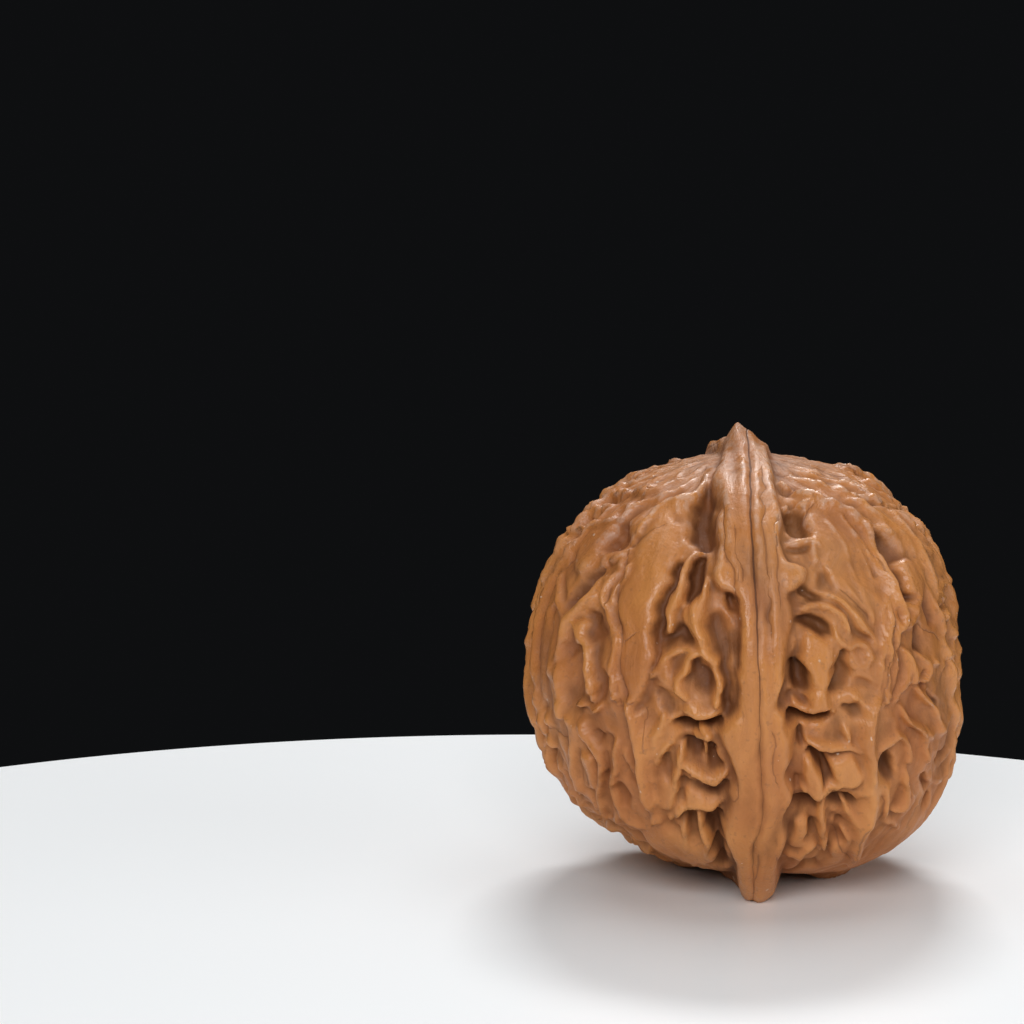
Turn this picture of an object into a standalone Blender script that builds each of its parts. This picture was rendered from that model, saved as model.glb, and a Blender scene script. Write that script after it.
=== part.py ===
"""A wenwan walnut, the hard ridged nut that collectors turn in the hand.

The nut grew as one piece, so it is one closed solid: a squarish body, the raised rib round the seam of its
two halves with the beak at the top and a foot at the bottom, and over all of it winding ridges, lips and pits.
It stands on its flattened foot, with the seam plane at x = 0 and its most detailed side facing -Y.
"""

import math

import bmesh
import bpy
import numpy as np

# Driving dimensions. The formula works in millimetres, and MM turns its points into metres.
MM = 0.001
BODY_HALF_X = 19.4
BODY_HALF_Y = 19.7
BODY_HALF_Z = 19.2
BODY_SQUARENESS = 2.35
BODY_CENTRE_Z = 20.3

# How much the two sides bulge out beyond the plain body, all over, above the middle and below it
LEAN = -0.15
LEFT_SHEAR = 0.3
RIGHT_SHEAR_HIGH = 0.7
RIGHT_SHEAR_LOW = 1.35
RIGHT_SWELL = 1.1

# The beak, the lobe behind it (x, y, height) and the low swelling round both
BEAK_HEIGHT = 1.95
BEAK_X = -0.9
BEAK_LEFT = 1.6
BEAK_RIGHT = 2.7
BEAK_DEEP = 4.0
BEAK_LOBE = (-1.8, 2.4, 0.55)
BEAK_LOBE_RADII = (0.8, 1.8)
COLLAR_HEIGHT = 0.85
COLLAR_REACH = 6.5

# The rib round the seam, and its height where it ends in the foot
RIB_HEIGHT = 1.7
RIB_EDGE_SHARE = 0.26
FOOT_HEIGHT = 3.2
SEAM_HALF_WIDTH = 0.3
SEAM_DEPTH = 0.35

# A ridge's flanks reach this many half widths out; a raised point sags downhill by a share of its height
RIDGE_REACH = 3.4
RIDGE_FALL = 1.35
STROKE_REACH = {"ridge": RIDGE_REACH, "swelling": 1.2, "hollow": 1.6, "crease": 1.0}
CREASE_HALF_WIDTH = 0.32
SAG = 0.42
SAG_CHANGE = 0.2

# Where the underside is let down to rest beside the foot, as (x, y, drop)
RESTING_PADS = ((-5.8, 2.0, 1.6), (8.0, 0.0, 2.1))
RESTING_PAD_RADII = (2.8, 3.6)

# The size and height of the net's folds, of the fine strands, and of the wandering of every stroke
NET_FOLDS = ((5.2, 0.34), (2.8, 0.18), (1.8, 0.10))
STRANDS = (1.6, 0.055)
RIB_STRANDS = (1.7, 0.11)
WANDERING = ((3.4, 0.14), (1.5, 0.05))

# Sides and back: degrees between the main ridges, and how far round from the seam they reach
GROWN_SPACING = 13.0
GROWN_TURNS = (64.0, 168.0)
WRINKLE_SPACING = 9.0
WRINKLE_TURNS = (24.0, 164.0)

GRID = 31
SEED = 11
PATCH_RINGS = (0.3, 0.55)
PATCH_TURNS = 6

# The front is read as it shows from a little above and to the left, at this distance from the nut's centre
SIGHT_AZIMUTH = math.radians(-4.0)
SIGHT_ELEVATION = math.radians(12.0)
SIGHT_DISTANCE = 500.0

CENTRE = np.array([0.0, 0.0, BODY_CENTRE_Z])
HALVES = np.array([BODY_HALF_X, BODY_HALF_Y, BODY_HALF_Z])
TOWARDS_EYE = np.array([
    math.sin(SIGHT_AZIMUTH) * math.cos(SIGHT_ELEVATION),
    -math.cos(SIGHT_AZIMUTH) * math.cos(SIGHT_ELEVATION),
    math.sin(SIGHT_ELEVATION),
])
SIGHT_RIGHT = np.array([math.cos(SIGHT_AZIMUTH), math.sin(SIGHT_AZIMUTH), 0.0])
SIGHT_UP = np.cross(TOWARDS_EYE, SIGHT_RIGHT)

# The seam and the rib's two edges on the front, from beak to foot, as (right, up) from the nut's centre
SEAM_LINE = (
    (-0.3, 21.0), (0.1, 19.6), (0.35, 18.0), (0.35, 14.0), (0.65, 10.0), (0.95, 6.0), (1.15, 2.0),
    (1.35, -2.0), (1.45, -6.0), (1.6, -10.0), (1.85, -13.0), (1.5, -15.0), (0.85, -17.0), (1.0, -20.5),
    (0.7, -21.8),
)
RIB_LEFT_EDGE = (
    (-2.5, 20.4), (-2.9, 19.2), (-3.9, 17.6), (-3.3, 16.3), (-3.0, 15.0), (-3.4, 13.3), (-3.0, 11.5),
    (-3.4, 10.2), (-3.8, 8.6), (-3.2, 7.6), (-1.2, 6.6), (-0.85, 5.6), (-0.7, 3.0), (-0.9, -0.5),
    (-0.9, -3.8), (-2.2, -5.1), (-2.9, -6.0), (-2.7, -7.3), (-2.0, -8.6), (-1.5, -9.8), (-1.2, -10.9),
    (-1.8, -12.4), (-1.8, -13.8), (-2.3, -15.0), (-2.3, -16.3), (-1.6, -17.6), (-1.0, -18.5),
    (-0.8, -19.8), (-0.6, -21.5),
)
RIB_RIGHT_EDGE = (
    (2.1, 20.4), (2.9, 18.2), (3.2, 16.5), (3.7, 15.0), (4.0, 14.0), (3.7, 12.4), (3.9, 11.0), (4.6, 9.9),
    (6.3, 9.5), (6.7, 8.6), (5.9, 7.5), (4.6, 7.0), (4.9, 5.8), (5.0, 4.5), (4.6, 2.5), (4.4, 0.6),
    (4.1, -1.3), (3.6, -2.6), (3.4, -3.8), (4.2, -4.6), (4.7, -5.8), (5.1, -6.6), (5.1, -8.6),
    (4.4, -10.0), (4.6, -11.0), (5.3, -12.3), (4.7, -13.4), (4.1, -14.5), (4.6, -15.8), (4.6, -17.0),
    (3.8, -18.2), (3.6, -19.0), (3.6, -20.5),
)

# Raised forms of the front. Each is half width, height, and the points that it runs through.
FRONT_RIDGES = (
    (0.60, 0.90, ((-3.4, 18.6), (-4.1, 17.3), (-4.8, 16.1), (-6.4, 15.5), (-8.2, 15.0), (-9.6, 14.1),
                  (-10.6, 12.6))),
    (0.45, 0.50, ((-4.6, 16.0), (-6.0, 14.9), (-8.3, 14.2), (-9.9, 13.9), (-10.8, 12.6), (-11.2, 11.4))),
    (0.24, 0.32, ((-3.0, 19.7), (-5.5, 19.2), (-8.2, 18.5), (-10.0, 17.8))),
    (0.26, 0.35, ((-3.4, 19.2), (-5.5, 18.7), (-7.6, 18.0), (-9.6, 17.6))),
    (0.26, 0.38, ((-3.6, 18.8), (-5.4, 17.9), (-7.2, 17.1), (-8.8, 16.6), (-10.2, 16.1))),
    (0.28, 0.45, ((-3.8, 18.4), (-5.2, 17.3), (-6.6, 16.6), (-8.6, 15.9), (-10.4, 15.1), (-11.2, 14.2))),
    (0.50, 1.15, ((-4.6, 10.6), (-5.4, 10.2), (-5.9, 9.0), (-6.2, 7.4), (-6.9, 5.6), (-7.6, 4.4),
                  (-7.7, 3.3))),
    (0.35, 0.60, ((-5.6, 8.0), (-6.0, 6.2), (-5.6, 4.8), (-5.0, 3.4), (-4.5, 2.6))),
    (0.26, 0.75, ((-11.2, 9.6), (-12.2, 7.6), (-12.9, 5.6), (-12.7, 3.0), (-12.5, 0.0), (-12.4, -2.5),
                  (-12.0, -4.5))),
    (0.24, 0.50, ((-11.6, 8.6), (-12.4, 6.4), (-12.3, 4.5), (-12.1, 2.0), (-11.9, -0.5), (-11.8, -3.0),
                  (-11.3, -5.0), (-10.9, -6.8))),
    (0.40, 1.05, ((-12.2, 9.3), (-13.2, 8.4), (-13.9, 6.8), (-13.9, 5.7), (-13.4, 4.4), (-13.1, 2.6),
                  (-12.9, 0.6), (-12.7, -1.8), (-12.7, -3.6))),
    (0.55, 1.30, ((-11.5, -4.2), (-11.2, -5.6), (-10.8, -7.0), (-10.4, -9.0), (-10.0, -11.0),
                  (-9.7, -13.0), (-9.2, -14.6), (-8.9, -16.0))),
    (0.45, 0.80, ((-9.9, -6.2), (-9.7, -8.0), (-9.2, -10.0), (-8.8, -12.5), (-8.3, -14.6),
                  (-8.0, -15.8))),
    (0.50, 0.60, ((-17.7, 8.4), (-17.9, 6.0), (-17.5, 4.4))),
    (0.50, 0.85, ((-14.0, 8.0), (-14.6, 6.6), (-15.7, 5.7), (-16.9, 4.5), (-17.3, 3.0), (-18.0, 1.2),
                  (-18.5, -0.6), (-18.2, -2.2), (-17.9, -4.0), (-17.7, -5.4))),
    (0.42, 0.70, ((-16.9, 4.6), (-16.2, 3.2), (-15.4, 1.8), (-15.0, 0.4), (-14.7, -1.4), (-14.8, -3.0),
                  (-15.3, -4.2))),
    (0.45, 0.80, ((-16.2, -4.4), (-15.2, -4.9), (-14.4, -4.8), (-13.9, -4.3))),
    (0.45, 0.70, ((-17.2, -5.6), (-16.7, -7.4), (-16.6, -9.4), (-16.4, -11.2), (-15.6, -12.8))),
    (0.50, 0.80, ((-16.2, -6.4), (-15.0, -8.0), (-14.3, -9.6), (-14.1, -11.4), (-14.3, -13.2),
                  (-14.0, -14.6), (-13.6, -15.6))),
    (0.40, 0.70, ((-12.4, -7.8), (-12.5, -9.6), (-12.7, -11.6), (-12.6, -13.2), (-12.0, -14.8),
                  (-11.7, -15.8))),
    (0.40, 0.60, ((-11.6, -8.4), (-11.2, -9.8), (-10.7, -11.0))),
    (0.50, 1.25, ((-3.7, 8.0), (-4.3, 6.7), (-4.8, 5.2), (-4.7, 3.8), (-4.2, 2.4), (-4.0, 1.0),
                  (-3.4, 0.0), (-2.7, -1.4), (-2.5, -3.2), (-2.8, -4.6))),
    (0.55, 1.00, ((-4.1, 1.0), (-5.2, 0.7), (-5.8, -0.4), (-6.2, -1.6), (-6.3, -2.8), (-5.9, -3.8))),
    (0.60, 0.65, ((-5.6, -4.2), (-4.8, -4.8), (-3.8, -5.0), (-2.9, -4.7))),
    (0.42, 0.80, ((-8.9, -1.6), (-8.5, -0.4), (-7.6, 0.4), (-6.4, 0.8), (-5.2, 1.1))),
    (0.35, 0.50, ((-8.6, -2.2), (-7.4, -2.0), (-6.8, -2.2))),
    (0.45, 0.60, ((-7.4, -5.2), (-8.2, -6.8), (-8.8, -8.4), (-9.0, -9.6))),
    (0.40, 0.60, ((-6.2, -6.6), (-7.4, -7.8), (-8.4, -9.2), (-8.6, -10.8))),
    (0.45, 0.70, ((-6.0, -8.4), (-6.0, -9.6), (-6.3, -11.0), (-7.0, -12.6), (-7.7, -13.8))),
    (0.50, 0.60, ((-4.6, -6.6), (-3.6, -6.9), (-3.2, -7.6))),
    (0.30, 0.60, ((-3.8, -8.2), (-3.9, -9.4))),
    (0.45, 0.80, ((-4.3, -14.8), (-4.1, -16.2), (-3.6, -17.6), (-3.6, -18.8))),
    (0.40, 0.60, ((-5.7, -16.0), (-5.3, -17.2), (-6.2, -18.4))),
    (0.55, 1.15, ((3.2, 17.6), (4.2, 16.8), (5.6, 16.5), (6.8, 16.2), (7.9, 15.3), (9.2, 14.8),
                  (10.5, 14.3), (11.4, 13.7), (12.1, 12.6), (12.8, 11.0), (13.3, 9.6), (13.9, 8.0),
                  (14.6, 6.6), (15.4, 5.4), (15.6, 4.4), (14.9, 3.2))),
    (0.32, 0.60, ((3.2, 17.1), (4.4, 16.6), (5.7, 15.9))),
    (0.40, 0.70, ((3.9, 14.9), (5.2, 15.2), (6.5, 15.5), (7.9, 15.0), (8.9, 14.0), (9.9, 13.0),
                  (10.8, 12.0), (11.8, 10.8), (12.4, 9.4), (13.2, 7.6), (13.7, 5.8))),
    (0.50, 0.60, ((6.2, 11.4), (6.7, 10.4), (6.5, 9.8))),
    (0.24, 0.32, ((2.4, 20.0), (5.0, 19.3), (8.0, 18.8), (10.5, 17.6), (12.6, 16.2))),
    (0.26, 0.36, ((2.6, 19.5), (4.6, 18.8), (7.4, 18.5), (9.4, 17.7), (11.5, 16.5))),
    (0.28, 0.40, ((2.9, 18.8), (4.6, 18.2), (6.4, 18.0), (8.2, 17.8), (9.8, 17.0), (11.6, 16.2),
                  (12.8, 15.4))),
    (0.40, 0.50, ((16.6, 11.6), (17.4, 10.7), (18.1, 10.2))),
    (0.40, 0.70, ((5.3, 5.2), (6.3, 5.4), (7.5, 5.2), (8.7, 4.7), (9.6, 3.8), (10.4, 2.9))),
    (0.42, 1.00, ((7.6, 6.5), (8.8, 6.0), (9.8, 5.0), (10.8, 4.0), (11.8, 3.0), (12.6, 2.1),
                  (12.7, 1.2))),
    (0.34, 0.55, ((8.4, 8.6), (9.4, 7.4), (10.4, 6.2), (11.4, 5.0), (12.0, 4.0))),
    (0.42, 0.50, ((6.9, 14.2), (8.3, 12.6), (9.3, 10.6), (10.1, 8.8), (11.0, 6.8), (11.9, 4.8),
                  (12.3, 3.2))),
    (0.36, 0.45, ((8.4, 14.2), (9.8, 12.4), (10.9, 10.6), (11.8, 8.6), (12.4, 6.8), (12.9, 4.8))),
    (0.45, 0.45, ((7.2, 10.6), (7.6, 9.2), (8.4, 8.0), (9.2, 6.8), (10.2, 5.4))),
    (0.42, 0.65, ((4.0, 17.9), (6.0, 17.3), (8.0, 16.9), (9.8, 16.2), (11.4, 15.2), (12.8, 14.0),
                  (13.6, 12.8))),
    (0.30, 0.55, ((5.2, 18.6), (7.6, 18.0), (9.8, 17.2), (11.6, 16.2), (12.9, 15.2), (14.6, 14.9))),
    (0.26, 0.40, ((9.6, 7.2), (10.8, 5.8), (11.8, 4.6), (12.4, 3.4))),
    (0.26, 0.40, ((11.4, 8.0), (12.2, 6.2), (12.8, 4.4), (12.9, 2.6))),
    (0.42, 0.60, ((8.4, 3.4), (8.6, 2.2), (9.6, 1.8))),
    (0.42, 0.70, ((9.9, 0.8), (10.4, 1.7), (11.4, 1.8), (12.0, 0.9), (11.8, -0.2), (10.8, -0.6),
                  (9.9, -0.2))),
    (0.30, 0.90, ((13.0, 8.6), (13.5, 6.4), (13.8, 4.0), (13.7, 2.0), (14.0, -0.4), (13.9, -2.4),
                  (13.5, -4.2))),
    (0.28, 0.80, ((14.0, 6.4), (14.3, 3.6), (14.7, 1.4), (14.8, -0.6), (14.4, -2.4), (13.8, -3.8))),
    (0.26, 0.75, ((13.1, 5.4), (13.3, 3.0), (13.0, 0.6), (13.1, -1.6), (13.0, -3.6))),
    (0.30, 0.60, ((15.0, 1.6), (15.6, 0.2), (15.4, -1.4), (14.9, -2.6), (14.2, -4.0))),
    (0.45, 0.70, ((14.9, 6.0), (15.8, 5.8), (16.5, 5.1), (16.0, 4.3), (15.5, 3.6))),
    (0.45, 0.45, ((15.6, 9.8), (16.4, 8.6), (16.8, 7.2), (16.7, 6.0), (16.3, 5.4))),
    (0.50, 0.70, ((17.6, 8.0), (18.3, 6.4), (18.8, 4.6), (19.3, 2.8))),
    (0.42, 0.60, ((18.0, -0.4), (19.0, 0.3), (20.2, 0.4))),
    (0.45, 0.80, ((15.4, 1.4), (16.2, 0.4), (16.3, -0.8), (16.0, -1.8))),
    (0.42, 0.75, ((17.0, 1.2), (17.8, 0.2), (17.8, -0.8), (17.2, -1.8))),
    (0.45, 0.80, ((16.6, -2.4), (17.6, -3.6), (18.4, -5.0), (18.9, -6.0), (18.0, -6.9), (17.2, -6.6))),
    (0.42, 0.80, ((15.0, -4.2), (15.8, -5.4), (16.8, -6.6), (17.4, -7.8), (17.2, -9.2))),
    (0.35, 0.60, ((14.2, -6.6), (15.0, -7.2), (15.6, -8.2), (15.4, -9.4))),
    (0.42, 0.70, ((8.3, -4.8), (9.0, -5.8), (9.6, -6.8), (9.8, -7.8))),
    (0.45, 0.90, ((7.3, -13.5), (7.4, -15.2), (7.6, -16.8), (7.6, -18.0))),
    (0.70, 1.30, ((13.0, -3.8), (12.3, -5.2), (12.2, -7.0), (12.5, -9.0), (12.4, -11.0), (12.3, -13.0),
                  (11.9, -14.6), (11.3, -16.2), (10.6, -17.8), (9.8, -19.0))),
    (0.40, 0.60, ((10.4, -3.2), (11.4, -4.0), (12.4, -5.0))),
    (0.42, 0.70, ((15.3, -10.2), (15.1, -11.4), (15.2, -12.6), (14.8, -13.5), (14.0, -13.6))),
    (0.30, 0.50, ((15.6, -12.2), (16.0, -13.2))),
    (0.35, 0.50, ((13.2, -11.6), (12.9, -13.4), (13.6, -14.8), (14.4, -15.6))),
    (0.45, 0.60, ((9.2, -15.8), (10.0, -17.0), (10.2, -18.0))),
    (0.40, 0.50, ((17.4, -9.4), (17.3, -11.2), (16.6, -13.2), (15.6, -15.0))),
)

# Lips of the front stand out over a carved shadow just below them
FRONT_LIPS = (
    (0.42, 0.70, ((-13.8, 15.8), (-12.2, 16.6), (-11.0, 16.6), (-9.6, 17.1))),
    (0.48, 0.90, ((-16.6, 12.6), (-15.4, 13.0), (-13.8, 13.8), (-12.6, 13.9), (-11.8, 14.7),
                  (-10.6, 15.3))),
    (0.42, 0.75, ((-13.7, 9.7), (-12.4, 10.2), (-11.2, 10.9))),
    (0.40, 0.50, ((-12.9, 9.0), (-11.8, 9.5), (-11.0, 10.3))),
    (0.42, 0.60, ((-16.0, -12.9), (-14.9, -13.1), (-14.6, -14.1))),
    (0.42, 0.55, ((-13.6, -15.3), (-12.0, -15.6), (-10.6, -15.8), (-9.6, -16.2))),
    (0.50, 1.00, ((-5.8, -5.0), (-4.9, -5.2), (-3.8, -5.4), (-2.6, -5.0))),
    (0.45, 0.60, ((-5.2, -7.0), (-4.2, -7.4), (-3.2, -7.7))),
    (0.50, 0.90, ((-5.6, -10.2), (-4.8, -11.1), (-3.6, -11.6), (-2.6, -11.5), (-1.8, -10.7))),
    (0.50, 0.90, ((-7.3, -15.4), (-6.0, -14.1), (-4.8, -14.0), (-4.0, -13.9), (-3.4, -14.2),
                  (-2.3, -13.8))),
    (0.40, 0.50, ((-7.0, -16.6), (-6.0, -16.0))),
    (0.42, 0.65, ((3.9, 11.4), (5.0, 11.7), (6.4, 11.8), (7.0, 11.2))),
    (0.40, 0.45, ((10.3, 16.0), (11.6, 15.9), (12.8, 15.4))),
    (0.40, 0.45, ((13.2, 14.9), (14.2, 14.6), (15.2, 13.6))),
    (0.45, 0.50, ((12.3, 13.1), (13.6, 12.8), (15.0, 12.3))),
    (0.48, 0.85, ((8.4, -4.2), (7.6, -4.7), (6.6, -4.5), (5.6, -4.4), (4.7, -4.0))),
    (0.42, 0.75, ((6.2, -7.8), (7.2, -8.1), (8.0, -8.5), (8.8, -8.1), (10.0, -8.2), (11.2, -8.6))),
    (0.48, 0.85, ((5.6, -12.1), (6.4, -12.6), (7.2, -12.9), (8.0, -12.5), (8.8, -12.1), (9.6, -11.9))),
    (0.40, 0.60, ((9.4, -13.4), (10.3, -14.6), (11.0, -14.7))),
    (0.45, 0.70, ((12.7, -8.1), (13.5, -7.6), (14.3, -7.0))),
    (0.48, 0.80, ((4.1, -18.4), (5.0, -18.2), (5.7, -17.6), (6.6, -17.4), (7.5, -18.0))),
    (0.42, 0.60, ((8.0, -2.0), (7.4, -2.4), (6.6, -2.4), (6.0, -2.9))),
)

# Smooth swellings of the front. Each is height and its (right, up, half width) points.
FRONT_SWELLINGS = (
    (0.55, ((-8.0, 14.2, 1.0), (-8.2, 12.8, 1.6), (-8.7, 11.2, 1.9), (-9.2, 9.2, 2.1), (-9.9, 6.8, 2.0),
            (-10.4, 4.2, 1.6), (-10.4, 2.4, 1.4), (-10.3, 0.6, 1.4), (-10.4, -1.2, 1.3),
            (-10.5, -2.6, 1.0), (-10.6, -3.5, 0.7))),
    (0.30, ((6.6, 13.4, 1.0), (8.0, 12.4, 1.7), (9.4, 10.8, 1.8), (10.4, 9.0, 1.5), (11.0, 7.0, 1.1),
            (11.8, 5.2, 0.9))),
    (0.35, ((8.4, 9.6, 1.2), (8.6, 8.2, 1.2), (9.4, 7.0, 0.9))),
    (0.80, ((6.4, 1.8, 1.0), (6.9, 0.4, 1.5), (7.1, -1.0, 1.3))),
    (0.80, ((7.2, -3.0, 0.9), (7.2, -3.9, 0.9))),
    (0.60, ((-7.8, -0.6, 0.7), (-7.4, -1.3, 0.7))),
    (0.70, ((6.2, -9.8, 0.6), (6.5, -11.0, 0.8), (6.9, -12.0, 0.9))),
    (0.70, ((9.6, -9.8, 1.1), (10.0, -11.0, 1.4))),
    (0.50, ((-7.6, -11.6, 0.9), (-7.8, -13.4, 1.0))),
    (0.25, ((-5.0, -12.8, 0.7), (-3.2, -13.2, 0.6))),
    (0.50, ((-7.0, -17.8, 1.3), (-5.0, -18.4, 1.3))),
    (0.50, ((9.0, -17.0, 0.7), (8.4, -19.0, 1.5), (6.4, -19.2, 1.1))),
    (0.60, ((5.4, -15.4, 0.7), (5.2, -16.8, 0.8))),
    (0.45, ((-18.2, 10.0, 0.8), (-17.6, 8.4, 0.7))),
    (0.50, ((-14.2, 12.6, 1.0), (-15.4, 11.0, 1.2), (-15.8, 9.6, 0.9))),
    (0.40, ((13.4, 13.9, 0.9), (15.4, 12.0, 1.0))),
    (0.35, ((15.6, 9.2, 0.9), (16.0, 7.4, 0.7))),
    (0.45, ((-16.0, 3.2, 0.8), (-15.9, 2.2, 0.6))),
    (0.40, ((-18.6, 6.0, 0.8), (-19.2, 2.0, 0.8), (-19.2, -2.0, 0.8))),
    (0.45, ((-15.2, -9.6, 0.7), (-15.0, -12.0, 0.7))),
    (0.20, ((18.8, -8.0, 0.9), (17.8, -11.0, 1.1), (16.8, -13.4, 1.0))),
    (0.75, ((15.6, -15.8, 1.0), (14.0, -17.4, 1.3), (12.2, -18.8, 1.3), (10.8, -19.6, 1.0))),
)

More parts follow.
